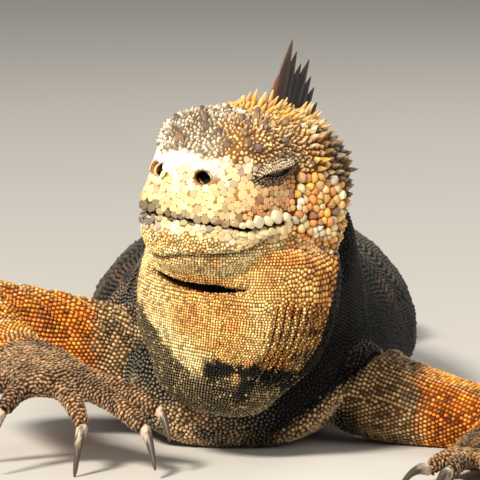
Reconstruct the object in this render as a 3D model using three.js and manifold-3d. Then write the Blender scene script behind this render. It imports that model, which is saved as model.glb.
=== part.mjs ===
// A marine iguana, adult male, lying on its chest with the head raised and turned to its right.
// Millimetres, +Z up. The body lies along Y and faces -Y, and +X is the animal's left side.
// Each form is a loft: rings of an oval section along a curve. manifold-3d joins and cuts the lofts.
import * as THREE from "three";
import { mergeVertices } from "three/addons/utils/BufferGeometryUtils.js";
import Module from "manifold-3d";

const wasm = await Module();
wasm.setup();

// Driving dimensions
const GAP = 0.3; // between touching pieces
const ROOM = 0.35; // how much a piece is grown before it cuts its neighbour
const SEED = 4711;

// Head, in its own frame: x forward, y to the animal's left and z up, from between the mouth corners
const HEAD_PLACE = new THREE.Vector3(-5, -62, 77.7);
const HEAD_TURN = 32.5; // degrees to the animal's right
const HEAD_PITCH = 9; // degrees up
const HEAD_ROLL = 6.5; // degrees, left side lower
const MOUTH_CORNER = 1; // along the head
const EYE_RADIUS = 6.6;
const EYE_SEAT = new THREE.Vector3(9.5, 16, 19);
const LID_THICKNESS = 1.3;
const LID_LENGTH = 11; // half length of the lids' oval
const LID_SLIT = 3; // open height between the lids
const NOSTRIL = new THREE.Vector3(34.6, 8.4, 13.6);

const rad = THREE.MathUtils.degToRad;
const at = (x, y, z) => new THREE.Vector3(x, y, z);
const side = (sign, v) => at(v.x, v.y * sign, v.z); // left or right twin in the head's frame

// Evenly spread numbers from 0 to 1, the same in every run
function makeRandom(seed) {
  let state = seed;
  return () => {
    state = (state * 1664525 + 1013904223) % 4294967296;
    return state / 4294967296;
  };
}
const random = makeRandom(SEED);
const vary = (share) => 1 + share * (2 * random() - 1);

// A closed geometry as a solid, and a solid as a geometry

function solid(geometry) {
  const bare = geometry.clone();
  for (const name of Object.keys(bare.attributes)) {
    if (name !== "position") bare.deleteAttribute(name);
  }
  const merged = mergeVertices(bare, 1e-4);
  return new wasm.Manifold(
    new wasm.Mesh({
      numProp: 3,
      vertProperties: new Float32Array(merged.attributes.position.array),
      triVerts: new Uint32Array(merged.index.array),
    }),
  );
}

function geometryOf(body) {
  const mesh = body.getMesh();
  const geometry = new THREE.BufferGeometry();
  geometry.setAttribute("position", new THREE.BufferAttribute(new Float32Array(mesh.vertProperties), 3));
  geometry.setIndex(new THREE.BufferAttribute(new Uint32Array(mesh.triVerts), 1));
  geometry.computeVertexNormals();
  return geometry;
}

const join = (bodies) => bodies.reduce((all, body) => all.add(body));
const cut = (body, tools) => tools.reduce((left, tool) => left.subtract(tool), body);

// The largest closed surface of a body
function largest(body) {
  const pieces = body.decompose();
  return pieces.reduce((best, piece) => (piece.volume() > best.volume() ? piece : best));
}

// A form is a smooth run of stations, each a centre with the section's half width, height and depth.
// square is the power of the oval above and below its middle: 2 is an ellipse and more is boxier.
function makeForm(stations, { up = at(0, 0, 1), square = [2, 2], shape = null } = {}) {
  const centres = new THREE.CatmullRomCurve3(stations.map((s) => s.centre), false, "centripetal");
  const sizes = new THREE.CatmullRomCurve3(stations.map((s) => at(...s.size)), false, "centripetal");
  return { centres, sizes, up, square, shape, last: stations.length - 1 };
}

// Position, sizes and axes of a form at a station number, which may lie between two stations
function sectionAt(form, station) {
  const t = THREE.MathUtils.clamp(station / form.last, 0, 1);
  const centre = form.centres.getPoint(t);
  const tangent = form.centres.getTangent(t);
  const across = form.up.clone().cross(tangent).normalize();
  const rise = tangent.clone().cross(across).normalize();
  return { centre, tangent, across, rise, size: form.sizes.getPoint(t) };
}

// The point on a section at an angle, 90 degrees at its top. grow moves it straight out of the surface,
// and lean is how far the surface faces along the form there, as on a dome.
function rimPoint(form, station, angle, { grow = 0, shrink = 1, shift = 0, lean = 0 } = {}) {
  const s = sectionAt(form, station);
  const c = Math.cos(angle);
  const h = Math.sin(angle);
  const power = form.square[h > 0 ? 0 : 1];
  const bend = (v, p) => Math.sign(v) * Math.abs(v) ** p;
  const half = s.size.x;
  const tall = h > 0 ? s.size.y : s.size.z;
  const point = s.centre
    .clone()
    .addScaledVector(s.across, bend(c, 2 / power) * half * shrink)
    .addScaledVector(s.rise, bend(h, 2 / power) * tall * shrink)
    .addScaledVector(s.tangent, shift);
  const facing = s.across
    .clone()
    .multiplyScalar(bend(c, 2 - 2 / power) / half)
    .addScaledVector(s.rise, bend(h, 2 - 2 / power) / tall)
    .normalize();
  const shaped = form.shape ? form.shape(point) : point;
  return shaped
    .addScaledVector(facing, grow * Math.sqrt(1 - lean * lean))
    .addScaledVector(s.tangent, grow * lean);
}

// A closed loft between two stations. A dome is a round end of that length past the last station,
// and an end without a dome is flat, drawn in by half the gap.
const DOME_RING = 4; // a dome has a ring for about each so many millimetres of its length

function loft(form, from, to, { rings, sides, grow = 0, domeStart = 0, domeEnd = 0, inset = GAP / 2 }) {
  const stack = [];
  const domeRings = (station, length, sign) => {
    const count = Math.ceil(length / DOME_RING);
    return Array.from({ length: count }, (_, i) => {
      const angle = ((Math.PI / 2) * (count - i)) / (count + 1);
      return {
        station,
        shrink: Math.cos(angle),
        shift: sign * length * Math.sin(angle),
        lean: sign * Math.sin(angle),
      };
    });
  };
  if (domeStart) stack.push(...domeRings(from, domeStart, -1));
  for (let i = 0; i <= rings; i++) {
    const flat = i === 0 ? !domeStart : i === rings && !domeEnd;
    const inward = flat ? (grow ? -grow : inset) * (i === 0 ? 1 : -1) : 0;
    stack.push({ station: from + ((to - from) * i) / rings, shrink: 1, shift: inward, lean: 0 });
  }
  if (domeEnd) stack.push(...domeRings(to, domeEnd, 1).reverse());
  const ends = [
    domeStart ? -domeStart - grow : stack[0].shift,
    domeEnd ? domeEnd + grow : stack[stack.length - 1].shift,
  ];
  const geometry = new THREE.CylinderGeometry(1, 1, 1, sides, stack.length - 1);
  const position = geometry.attributes.position;
  const v = at(0, 0, 0);
  for (let i = 0; i < position.count; i++) {
    v.fromBufferAttribute(position, i);
    const ring = Math.round((0.5 - v.y) * (stack.length - 1));
    const { station, ...place } = stack[ring];
    if (Math.hypot(v.x, v.z) < 0.5) {
      const s = sectionAt(form, station);
      const pole = s.centre.addScaledVector(s.tangent, ends[ring === 0 ? 0 : 1]);
      v.copy(form.shape ? form.shape(pole) : pole);
    } else {
      v.copy(rimPoint(form, station, Math.atan2(v.z, v.x), { grow, ...place }));
    }
    position.setXYZ(i, v.x, v.y, v.z);
  }
  return solid(geometry);
}

const onFloor = (body) => body.trimByPlane([0, 0, 1], 0);

// Head

const headAxes = () => {
  const turn = rad(HEAD_TURN);
  const pitch = rad(HEAD_PITCH);
  const roll = rad(HEAD_ROLL);
  const forward = at(-Math.sin(turn) * Math.cos(pitch), -Math.cos(turn) * Math.cos(pitch), Math.sin(pitch));
  const level = at(Math.cos(turn), -Math.sin(turn), 0);
  const upright = forward.clone().cross(level);
  const left = level.clone().multiplyScalar(Math.cos(roll)).addScaledVector(upright, -Math.sin(roll));
  const up = forward.clone().cross(left);
  return new THREE.Matrix4().makeBasis(forward, left, up).setPosition(HEAD_PLACE);
};
const HEAD = headAxes();
const headPoint = (x, y, z) => at(x, y, z).applyMatrix4(HEAD);
const headTurned = (x, y, z) => at(x, y, z).transformDirection(HEAD);
const placeHead = (body) => body.transform(HEAD.elements);

// Soft swellings and hollows of the head: where, how far each way, and how much outward
const HEAD_SWELLINGS = [
  { centre: at(9, 23, 28), reach: at(11, 6, 4), out: 1.6 }, // brow
  { centre: at(7, 26, 19), reach: at(12, 9, 7), out: -2.2 }, // hollow round the eye
  { centre: at(-18, 33, 2), reach: at(13, 12, 17), out: 2.4 }, // jowl
  { centre: at(33, 9, 16), reach: at(6, 5, 5), out: 1.2 }, // mound of the nostril
  { centre: at(20, 26, 4), reach: at(26, 10, 3.2), out: 0.8 }, // upper lip
  { centre: at(20, 26, -6), reach: at(26, 10, 3), out: 1.0 }, // lower lip
  { centre: at(30, 19, 14), reach: at(10, 9, 6), out: -2.6 }, // hollow between nostril and cheek
  { centre: at(-30, 0, 33), reach: at(9, 10, 9), out: 5 }, // pad under the nape's spines
  { centre: at(22, 17, 30), reach: at(9, 8, 8), out: 2.2 }, // front corner of the crown
];

function shapeHead(point) {
  const axis = at(point.x * 0.55, 0, 8);
  const away = point.clone().sub(axis).normalize();
  const total = HEAD_SWELLINGS.reduce((sum, { centre, reach, out }) => {
    const dx = (point.x - centre.x) / reach.x;
    const dy = (Math.abs(point.y) - centre.y) / reach.y;
    const dz = (point.z - centre.z) / reach.z;
    return sum + out * Math.exp(-(dx * dx + dy * dy + dz * dz));
  }, 0);
  return point.clone().addScaledVector(away, total);
}

const headForm = makeForm(
  [
    { centre: at(-25, 0, 7), size: [25.5, 28.5, 26] },
    { centre: at(-15, 0, 7), size: [28, 30.5, 28] },
    { centre: at(-4, 0, 7), size: [26.5, 30.8, 28.5] },
    { centre: at(9, 0, 7), size: [24, 29.5, 28.5] },
    { centre: at(20, 0, 7), size: [22, 26.5, 27.5] },
    { centre: at(28.5, 0, 7), size: [18.3, 17.5, 22.5] },
  ],
  { square: [3.3, 2.3], shape: shapeHead },
);
const HEAD_SIDES = 26;
const HEAD_ENDS = { domeStart: 8.5, domeEnd: 8.5 };
const headLoft = (grow = 0) =>
  placeHead(loft(headForm, 0, 5, { rings: 11, sides: HEAD_SIDES, grow, ...HEAD_ENDS }));

// The mouth line from the front to its corner, along and up: it sags, then rises at the corner
const MOUTH_LINE = [
  [60, 0],
  [36, 0],
  [22, -1.6],
  [10, -0.6],
  [MOUTH_CORNER, 3.4],
];

// The lower jaw's share of the head: below the mouth line and ahead of the jowl, grown to make room
function jawWedge(grow) {
  const outline = new THREE.Shape([
    ...MOUTH_LINE.map(([x, z]) => new THREE.Vector2(x - (x < 60 ? grow / 2 : 0), z + grow)),
    new THREE.Vector2(MOUTH_CORNER - 5 - grow, -6),
    new THREE.Vector2(MOUTH_CORNER - 22 - grow, -40),
    new THREE.Vector2(60, -40),
  ]);
  return acrossHead(outline);
}

// An outline of the head's side view, as a wide plate across the head
function acrossHead(outline) {
  const width = 100;
  const plate = new THREE.ExtrudeGeometry(outline, { depth: width, bevelEnabled: false });
  plate.rotateX(Math.PI / 2).translate(0, width / 2, 0);
  return placeHead(solid(plate));
}

// A narrow groove round the outside of the mouth, which shows as its line
const GROOVE_HALF = 0.6;
const GROOVE_DEPTH = 2.2;

function mouthGroove() {
  const above = MOUTH_LINE.map(([x, z]) => new THREE.Vector2(x, z + GROOVE_HALF));
  const below = MOUTH_LINE.map(([x, z]) => new THREE.Vector2(x, z - GROOVE_HALF)).reverse();
  const core = loft(headForm, 0, 5, { rings: 6, sides: 16, grow: -GROOVE_DEPTH, ...HEAD_ENDS });
  return acrossHead(new THREE.Shape([...above, ...below])).subtract(placeHead(core));
}

const ball = (radius, centre) =>
  solid(new THREE.SphereGeometry(radius, 12, 8).translate(...centre.toArray()));

// Lids: a long oval over the eye, open along a slit that rises to the back
function lids(sign) {
  const seat = side(sign, EYE_SEAT);
  const radius = EYE_RADIUS + GAP + LID_THICKNESS;
  const oval = new THREE.SphereGeometry(radius, 12, 8)
    .scale(LID_LENGTH / radius, 1, 1)
    .rotateY(rad(12))
    .translate(...seat.toArray());
  const slit = new THREE.BoxGeometry(14.5, 20, LID_SLIT)
    .rotateY(rad(12))
    .translate(seat.x, seat.y + sign * 10, seat.z - 0.6);
  return {
    cover: placeHead(solid(oval)),
    opening: placeHead(solid(slit).add(ball(EYE_RADIUS + GAP, seat))),
    eye: placeHead(ball(EYE_RADIUS, seat)),
  };
}

function nostrilHole(sign) {
  const hole = new THREE.SphereGeometry(1, 8, 6)
    .scale(3.4, 2.5, 1.8)
    .rotateZ(rad(sign * 35))
    .translate(...side(sign, NOSTRIL).toArray());
  return placeHead(solid(hole));
}

function earHollow(sign) {
  const hollow = new THREE.SphereGeometry(1, 8, 6).scale(4.5, 2.2, 5.5).translate(-26, sign * 31, 9);
  return placeHead(solid(hollow));
}

// Throat pouch, hanging from the jaw in the head's frame
const throatForm = makeForm(
  [
    { centre: at(-9, 0, -6), size: [33, 27, 28] },
    { centre: at(-10, 0, -25), size: [34.5, 29.5, 29] },
    { centre: at(-9, 0, -40), size: [31, 28, 25] },
    { centre: at(-7, 0, -52), size: [22, 20, 17] },
  ],
  { up: at(1, 0, 0), square: [2.2, 2.2] },
);
const throatLoft = (grow = 0) =>
  placeHead(loft(throatForm, 0, 3, { rings: 6, sides: 18, grow, domeStart: 4, domeEnd: 11 }));

// Neck, from inside the torso up to the back of the head
const neckForm = makeForm([
  { centre: at(-6, 26, 34), size: [45, 34, 32] },
  { centre: at(-3, 2, 43), size: [42, 37, 36] },
  { centre: at(2, -20, 58), size: [36, 39.5, 36] },
  { centre: at(8, -38, 72), size: [28, 40, 32] },
]);
const neckLoft = (grow = 0) =>
  loft(neckForm, 0, 3, { rings: 6, sides: 18, grow, domeStart: 6, domeEnd: 8 });

// Trunk and tail on one line: stations from the chest to the tail tip
const FLOOR_PRESS = 1.5; // how far the round belly would reach below the floor
const trunkStation = (x, y, middle, half, height) => ({
  centre: at(x, y, middle),
  size: [half, height - middle, middle + FLOOR_PRESS],
});
const TRUNK = [
  trunkStation(-6, -30, 19, 35, 50),
  trunkStation(-6, -6, 22, 46, 64),
  trunkStation(-6, 28, 24, 54, 71),
  trunkStation(-5, 80, 25, 59, 71),
  trunkStation(-5, 138, 24, 56, 67),
  trunkStation(-6, 190, 23, 44, 60),
  trunkStation(-8, 232, 22, 33, 53),
  trunkStation(-8, 268, 21, 25, 46),
  trunkStation(-8, 330, 20, 16, 42),
  trunkStation(-14, 420, 18, 10.5, 37),
  trunkStation(-26, 520, 14, 8, 30),
  trunkStation(-38, 620, 10, 6, 21),
  trunkStation(-34, 710, 6, 4, 13),
  trunkStation(-10, 786, 3, 2.2, 6),
];
const trunkForm = makeForm(TRUNK, { square: [2, 2.2] });
// Node name, first and last station, rings and sides of each length
const TRUNK_LENGTHS = [
  { name: "torso", from: 0, to: 5, rings: 9, sides: 22, domeStart: 16 },
  { name: "hips", from: 5, to: 7, rings: 4, sides: 20 },
  { name: "tail_1", from: 7, to: 8.6, rings: 4, sides: 14 },
  { name: "tail_2", from: 8.6, to: 10, rings: 4, sides: 12 },
  { name: "tail_3", from: 10, to: 11.5, rings: 4, sides: 10 },
  { name: "tail_4", from: 11.5, to: 13, rings: 5, sides: 8, domeEnd: 4 },
];
const trunkLoft = (part, grow = 0) =>
  loft(trunkForm, part.from, part.to, { ...part, grow });

// Limbs: an upper and a lower length that meet at the elbow or knee
const ARM = { top: [17, 17, 15], hinge: [10.5, 10, 11], end: [9.5, 8, 8] };
const LEG = { top: [19, 19, 18], hinge: [12.5, 13, 13], end: [9.5, 8, 8] };
const FLESH = 1.08; // how much fuller a limb is between its joints

const midway = (a, b, share, lift) => a.clone().lerp(b, share).add(lift);

function limbLength(from, to, sizeFrom, sizeTo, lift) {
  const mean = sizeFrom.map((v, i) => ((v + sizeTo[i]) / 2) * FLESH);
  return makeForm(
    [
      { centre: from, size: sizeFrom },
      { centre: midway(from, to, 0.45, lift), size: mean },
      { centre: to, size: sizeTo },
    ],
    { square: [2.1, 2.1] },
  );
}

const LIMBS = [
  {
    names: ["upper_arm_right", "forearm_right", "hand_right"],
    sizes: ARM,
    joints: [at(-34, -8, 24), at(-95, -16, 46), at(-74, -66, 34)],
    lifts: [at(0, 0, 1), at(-3, 0, 2)],
  },
  {
    names: ["upper_arm_left", "forearm_left", "hand_left"],
    sizes: ARM,
    joints: [at(34, -10, 17), at(86, -34, 8.6), at(80, -84, 8.5)],
    lifts: [at(0, 0, -1.5), at(3, 0, 0)],
  },
  {
    names: ["thigh_right", "shank_right", "foot_right"],
    sizes: LEG,
    joints: [at(-28, 232, 21), at(-50, 285, 18), at(-52, 337, 9)],
    lifts: [at(-4, 0, 1), at(-2, 0, 1)],
  },
  {
    names: ["thigh_left", "shank_left", "foot_left"],
    sizes: LEG,
    joints: [at(12, 232, 21), at(30, 286, 17), at(26, 338, 9)],
    lifts: [at(4, 0, 1), at(1, 0, 1)],
  },
];

// Hands and feet: a palm and five digits, each digit with its own claw
const CLAW_BASE = [1.9, 2.2, 2.2];
const CLAW_CURL = 2.4;

function palm(wrist, knuckles, half, thick) {
  const form = makeForm(
    [
      { centre: wrist, size: [half * 0.72, thick, thick] },
      { centre: midway(wrist, knuckles, 0.5, at(0, 0, 0.5)), size: [half * 0.86, thick, thick * 0.9] },
      { centre: knuckles, size: [half, thick * 0.85, thick * 0.8] },
    ],
    { square: [2.3, 2.3] },
  );
  return loft(form, 0, 2, { rings: 3, sides: 10, domeStart: 3, domeEnd: 4 });
}

// A digit from its root in the palm to the claw's root, and the claw on to its tip
function digit({ root, tip, clawTip, thick, arch = 2, curl = CLAW_CURL }) {
  const finger = makeForm(
    [
      { centre: root, size: [thick, thick, thick] },
      { centre: midway(root, tip, 0.5, at(0, 0, arch)), size: [thick * 0.86, thick * 0.9, thick * 0.86] },
      { centre: tip, size: [thick * 0.62, thick * 0.74, thick * 0.66] },
    ],
    { square: [2.2, 2.2] },
  );
  const claw = makeForm([
    { centre: tip, size: CLAW_BASE },
    {
      centre: midway(tip, clawTip, 0.5, at(0, 0, curl)),
      size: CLAW_BASE.map((v) => v * 0.66),
    },
    { centre: clawTip, size: [0.35, 0.4, 0.4] },
  ]);
  const fingerLoft = (grow) => loft(finger, 0, 2, { rings: 3, sides: 7, grow });
  return {
    finger: fingerLoft(0),
    claw: loft(claw, 0, 2, { rings: 3, sides: 6, inset: -1 }).subtract(fingerLoft(ROOM)),
  };
}

// Digits of a foot set flat on the floor, from digit 1 inside to digit 5 outside
function flatDigits({ knuckles, heading, spread, lengths, roots, thick, claw, outward, solesUp = false }) {
  return lengths.map((length, i) => {
    const angle = rad(heading + outward * spread[i]);
    const direction = at(Math.sin(angle), -Math.cos(angle), 0);
    const across = at(Math.cos(rad(heading)), Math.sin(rad(heading)), 0);
    const root = knuckles
      .clone()
      .addScaledVector(across, outward * roots[i])
      .addScaledVector(direction, -2);
    const tip = root.clone().addScaledVector(direction, length + 2).setZ(4.2);
    return {
      root,
      tip,
      clawTip: tip.clone().addScaledVector(direction, claw).setZ(solesUp ? 6 : 0.6),
      curl: solesUp ? -CLAW_CURL / 2 : CLAW_CURL,
      thick: thick * (i === 4 ? 0.85 : 1),
    };
  });
}

const HAND = { spread: [-38, -16, 4, 22, 48], lengths: [15, 22, 26, 27, 18], roots: [-9, -5, 0, 5, 9] };
const FOOT = { spread: [-15, -6, 0, 6, 15], lengths: [17, 27, 38, 48, 30], roots: [-9, -5, 0, 5, 8] };

const FEET = {
  hand_right: {
    palm: [at(-74, -66, 34), at(-60, -86, 28), 16, 7],
    digits: [
      { root: at(-54, -79, 28), tip: at(-28, -92, 20), clawTip: at(-24, -99, 12), thick: 4.6 },
      { root: at(-56, -83, 28), tip: at(-32, -102, 15.5), clawTip: at(-28, -110, 4), thick: 4.8 },
      { root: at(-60, -86, 27), tip: at(-52, -98, 15.5), clawTip: at(-54, -106, 0.6), thick: 4.6 },
      { root: at(-69, -84, 28), tip: at(-78, -99, 20), clawTip: at(-81, -107, 8), thick: 4.6 },
      { root: at(-73, -79, 29), tip: at(-92, -88, 19), clawTip: at(-99, -93, 8), thick: 4 },
    ],
  },
  hand_left: {
    palm: [at(80, -84, 8.5), at(79, -102, 6.5), 14, 6.5],
    digits: flatDigits({
      ...HAND,
      knuckles: at(79, -102, 6),
      heading: -4,
      thick: 4.3,
      claw: 13,
      outward: 1,
    }),
  },
  foot_right: {
    palm: [at(-52, 337, 9), at(-55, 367, 6.5), 12.5, 7],
    digits: flatDigits({
      ...FOOT,
      knuckles: at(-55, 367, 5.5),
      heading: 184,
      thick: 4.4,
      claw: 12,
      outward: 1,
      solesUp: true,
    }),
  },
  foot_left: {
    palm: [at(26, 338, 9), at(25, 368, 6.5), 12.5, 7],
    digits: flatDigits({
      ...FOOT,
      knuckles: at(25, 368, 5.5),
      heading: 182,
      thick: 4.4,
      claw: 12,
      outward: -1,
      solesUp: true,
    }),
  },
};

// Build

const nodes = new Map();
const keep = (name, body) => nodes.set(name, largest(body));

const head = headLoft();
const headRoom = headLoft(ROOM);
const throatRoom = throatLoft(ROOM);
const neckRoom = neckLoft(ROOM);
const trunkRoom = TRUNK_LENGTHS.slice(0, 3).map((part) => trunkLoft(part, ROOM));

function buildHead() {
  const sides = [1, -1];
  const lidSets = sides.map(lids);
  const groove = mouthGroove();
  const covered = join([head, ...lidSets.map((set) => set.cover)]);
  const tools = [
    ...lidSets.map((set) => set.opening),
    ...sides.map(nostrilHole),
    ...sides.map(earHollow),
    groove,
  ];
  keep("head", cut(covered, [jawWedge(GAP), ...tools]));
  keep("lower_jaw", head.intersect(jawWedge(0)).subtract(groove));
  keep("eye_left", lidSets[0].eye);
  keep("eye_right", lidSets[1].eye);
  keep("throat", cut(throatLoft(), [headRoom, trunkRoom[0]]));
  keep("neck", cut(neckLoft(), [headRoom, throatRoom, trunkRoom[0]]));
}

function buildTrunk() {
  TRUNK_LENGTHS.forEach((part) => keep(part.name, onFloor(trunkLoft(part))));
}

function buildFoot(name, foot, room) {
  const built = foot.digits.map(digit);
  const whole = join([palm(...foot.palm), ...built.map((d) => d.finger)]);
  keep(name, onFloor(whole.subtract(room)));
  built.forEach((d, i) => keep(name + "_claw_" + (i + 1), onFloor(d.claw)));
}

function buildLimbs() {
  for (const { names, sizes, joints, lifts } of LIMBS) {
    const [root, hinge, end] = joints;
    const upperForm = limbLength(root, hinge, sizes.top, sizes.hinge, lifts[0]);
    const lowerForm = limbLength(hinge, end, sizes.hinge, sizes.end, lifts[1]);
    const upper = (grow) => loft(upperForm, 0, 2, { rings: 3, sides: 12, domeStart: 6, domeEnd: 8, grow });
    const lower = (grow) => loft(lowerForm, 0, 2, { rings: 3, sides: 12, domeStart: 5, grow });
    keep(names[0], onFloor(cut(upper(0), [...trunkRoom, neckRoom])));
    keep(names[1], onFloor(cut(lower(0), [upper(ROOM), ...trunkRoom])));
    buildFoot(names[2], FEET[names[2]], lower(ROOM));
  }
}

// Spines, spikes, tubercles and jowl scales, each planted where a ray meets the surface

const SINK = 3; // how deep a root goes into its node
const CLEAR = 2.2; // least distance from a root to another node

// Numbers read off a row of pairs, straight between them
function along(pairs, x) {
  const i = Math.min(Math.max(pairs.findIndex(([end]) => end > x), 1), pairs.length - 1);
  const [x0, y0] = pairs[i - 1];
  const [x1, y1] = pairs[i];
  return THREE.MathUtils.mapLinear(THREE.MathUtils.clamp(x, x0, x1), x0, x1, y0, y1);
}

// Where a ray first meets the nodes: the node's name, the point and the way that the surface faces
function strike(meshes, origin, direction) {
  const hit = new THREE.Raycaster(origin, direction).intersectObjects(meshes)[0];
  return hit && { name: hit.object.name, point: hit.point, facing: hit.face.normal.clone() };
}

// A tapered form has a ring at its root, a ring at waist of its height, waistWidth as wide, and a tip
const BLADE = { sides: 4, waist: 0.45, waistWidth: 0.72 };
const SPIKE = { sides: 4, waist: 0.35, waistWidth: 0.8 };
const KNOB = { sides: 5, waist: 0.62, waistWidth: 0.72 };

// height stands out of the surface, length runs along lie, width across it, and the tip leans along lie
function tapered(kind, { point, facing, lie }, { height, length, width, lean }) {
  const across = facing.clone().cross(lie).normalize();
  const level = across.clone().cross(facing).normalize();
  const geometry = new THREE.ConeGeometry(0.5, 2, kind.sides, 2);
  const position = geometry.attributes.position;
  const rises = [-SINK, kind.waist * height, height];
  const widths = [1, 2 * kind.waistWidth, 0];
  const v = at(0, 0, 0);
  for (let i = 0; i < position.count; i++) {
    v.fromBufferAttribute(position, i);
    const ring = Math.round(v.y + 1);
    const bend = lean * Math.max(rises[ring] / height, 0) ** 2;
    const moved = point
      .clone()
      .addScaledVector(across, v.x * widths[ring] * width)
      .addScaledVector(level, v.z * widths[ring] * length + bend)
      .addScaledVector(facing, rises[ring]);
    position.setXYZ(i, moved.x, moved.y, moved.z);
  }
  return solid(geometry);
}

// Crest: distance behind its first spine, and the spines' height and spacing there
const CREST_HEIGHT = [
  ...[[0, 14], [5, 21], [10, 25], [22, 22], [32, 14], [80, 12]],
  ...[[130, 9], [420, 8.5], [620, 6.5], [840, 2.5]],
];
const CREST_SPACING = [[0, 5], [50, 6], [110, 10], [500, 11], [840, 9]];
const CREST_LENGTH = (height) => 2.2 + 0.19 * height; // along the body, at the root
const CREST_WIDTH = (height) => 1.1 + 0.06 * height; // across it
const CREST_LEAN = 0.24; // of the height
const CREST_UPRIGHT = 0.6; // how much more it stands up than the surface faces
const CREST_END = 12; // bare length at the tail tip
const ABOVE_ALL = 200; // height from which rays are cast down

function crestSpines(meshes) {
  const down = at(0, 0, -1);
  const over = (v) => at(v.x, v.y, ABOVE_ALL);
  const line = new THREE.CatmullRomCurve3([
    over(headPoint(-14, 0, 30)),
    over(headPoint(-27, 0, 30)),
    ...[2.4, 1.6, 0.8].map((station) => over(rimPoint(neckForm, station, Math.PI / 2))),
    ...TRUNK.slice(2).map(({ centre }) => over(centre)),
  ]);
  const whole = line.getLength();
  const spines = [];
  for (let d = 0; d < whole - CREST_END; d += along(CREST_SPACING, d) * vary(0.12)) {
    const place = strike(meshes, line.getPointAt(d / whole), down);
    const height = along(CREST_HEIGHT, d) * vary(0.14);
    const lie = line.getTangentAt(d / whole);
    const facing = place.facing.addScaledVector(down, -CREST_UPRIGHT).normalize();
    const size = {
      height,
      length: CREST_LENGTH(height),
      width: CREST_WIDTH(height),
      lean: CREST_LEAN * height,
    };
    spines.push({ kind: BLADE, place: { ...place, facing, lie }, size });
  }
  return spines;
}

// Forms on the head: columns along it and rows across it, both sides alike but each varied
const HEAD_NODES = ["head", "throat"];
const STRAY = 0.8; // how far a form may lie off its place in the rows
const stray = () => STRAY * (random() - 0.5);

function headForms(meshes, kind, { alongHead, acrossHead, from, size }) {
  const [back, front, columns] = alongHead;
  const [inner, outer, rows] = acrossHead;
  const forms = [];
  for (let i = 0; i < columns; i++) {
    for (let j = 0; j < rows; j++) {
      for (const sign of [1, -1]) {
        const x = THREE.MathUtils.lerp(back, front, (i + 0.5 * (j % 2)) / columns) + stray();
        const y = THREE.MathUtils.lerp(inner, outer, j / (rows - 1)) + stray();
        const { origin, direction } = from(x, y, sign);
        const place = strike(meshes, origin, direction);
        if (!HEAD_NODES.includes(place?.name)) continue;
        const scale = vary(0.2);
        const lie = headTurned(-1, 0, 0);
        forms.push({
          kind,
          place: { ...place, lie },
          size: Object.fromEntries(
            Object.entries(size(x, y)).map(([name, value]) => [name, value * scale]),
          ),
        });
      }
    }
  }
  return forms;
}

const fromAbove = (x, y, sign) => ({
  origin: headPoint(x, sign * y, 90),
  direction: headTurned(0, 0, -1),
});
const fromBeside = (x, z, sign) => ({
  origin: headPoint(x, sign * 90, z),
  direction: headTurned(0, -sign, 0),
});

// Tubercles of the crown, largest over the brow, and the spikes behind them on both sides of the crest
const TUBERCLES = {
  alongHead: [-6, 23, 5],
  acrossHead: [3.2, 19, 4],
  from: fromAbove,
  size: (x, y) => ({ height: 3.4 - 0.03 * x - 0.04 * y, length: 6, width: 5.4, lean: 0.8 }),
};
const NAPE_SPIKES = {
  alongHead: [-26, -8, 4],
  acrossHead: [5.5, 19, 3],
  from: fromAbove,
  size: (x, y) => ({ height: 7.4 - 0.14 * y, length: 3.2, width: 3, lean: 2.4 }),
};
const JOWL_SCALES = {
  alongHead: [-25, -9, 3],
  acrossHead: [-8, 13, 4],
  from: fromBeside,
  size: () => ({ height: 1.5, length: 4.8, width: 4.6, lean: 0.2 }),
};

// Each form joins the node that it stands on, unless its root comes near another node
function plant(forms) {
  for (const { kind, place, size } of forms) {
    const body = tapered(kind, place, size);
    const wide = tapered(kind, place, { ...size, length: size.length + CLEAR, width: size.width + CLEAR });
    const crosses = [...nodes].some(
      ([name, other]) => name !== place.name && other.intersect(wide).volume() > 0,
    );
    if (!crosses) keep(place.name, nodes.get(place.name).add(body));
  }
}

function buildForms() {
  const meshes = [...nodes].map(([name, body]) => {
    const mesh = new THREE.Mesh(geometryOf(body));
    mesh.name = name;
    return mesh;
  });
  plant([
    ...crestSpines(meshes),
    ...headForms(meshes, KNOB, TUBERCLES),
    ...headForms(meshes, SPIKE, NAPE_SPIKES),
    ...headForms(meshes, KNOB, JOWL_SCALES),
  ]);
}

buildHead();
buildTrunk();
buildLimbs();
buildForms();

// Colours of each node's material: face, throat, dark body, orange arms, feet, claws and eyes
const LOOKS = [
  { test: /^head$/, colour: 0xd9b98a, roughness: 0.65 },
  { test: /^(lower_jaw|throat)$/, colour: 0xd8a765, roughness: 0.7 },
  { test: /^upper_arm/, colour: 0xc06a24, roughness: 0.7 },
  { test: /^forearm/, colour: 0x9c7040, roughness: 0.7 },
  { test: /claw/, colour: 0x3a3430, roughness: 0.35 },
  { test: /^(hand|foot)/, colour: 0x6b543c, roughness: 0.7 },
  { test: /^eye/, colour: 0x241a12, roughness: 0.15 },
  { test: /./, colour: 0x35322c, roughness: 0.75 },
];

const iguana = new THREE.Group();
for (const [name, body] of nodes) {
  const look = LOOKS.find(({ test }) => test.test(name));
  const material = new THREE.MeshStandardMaterial({
    color: look.colour,
    roughness: look.roughness,
    metalness: 0,
  });
  const mesh = new THREE.Mesh(geometryOf(body), material);
  mesh.name = name;
  iguana.add(mesh);
}

// The origin is the middle of the footprint on the floor
const box = new THREE.Box3().setFromObject(iguana);
const middle = box.getCenter(at(0, 0, 0));
iguana.children.forEach((mesh) => mesh.position.set(-middle.x, -middle.y, 0));

export default iguana;
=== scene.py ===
"""A life-size still model of a marine iguana on a pale studio floor.

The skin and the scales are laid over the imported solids. Sizes here are in millimetres unless a comment
says otherwise, and every mesh is made in metres.
"""
import math

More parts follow.
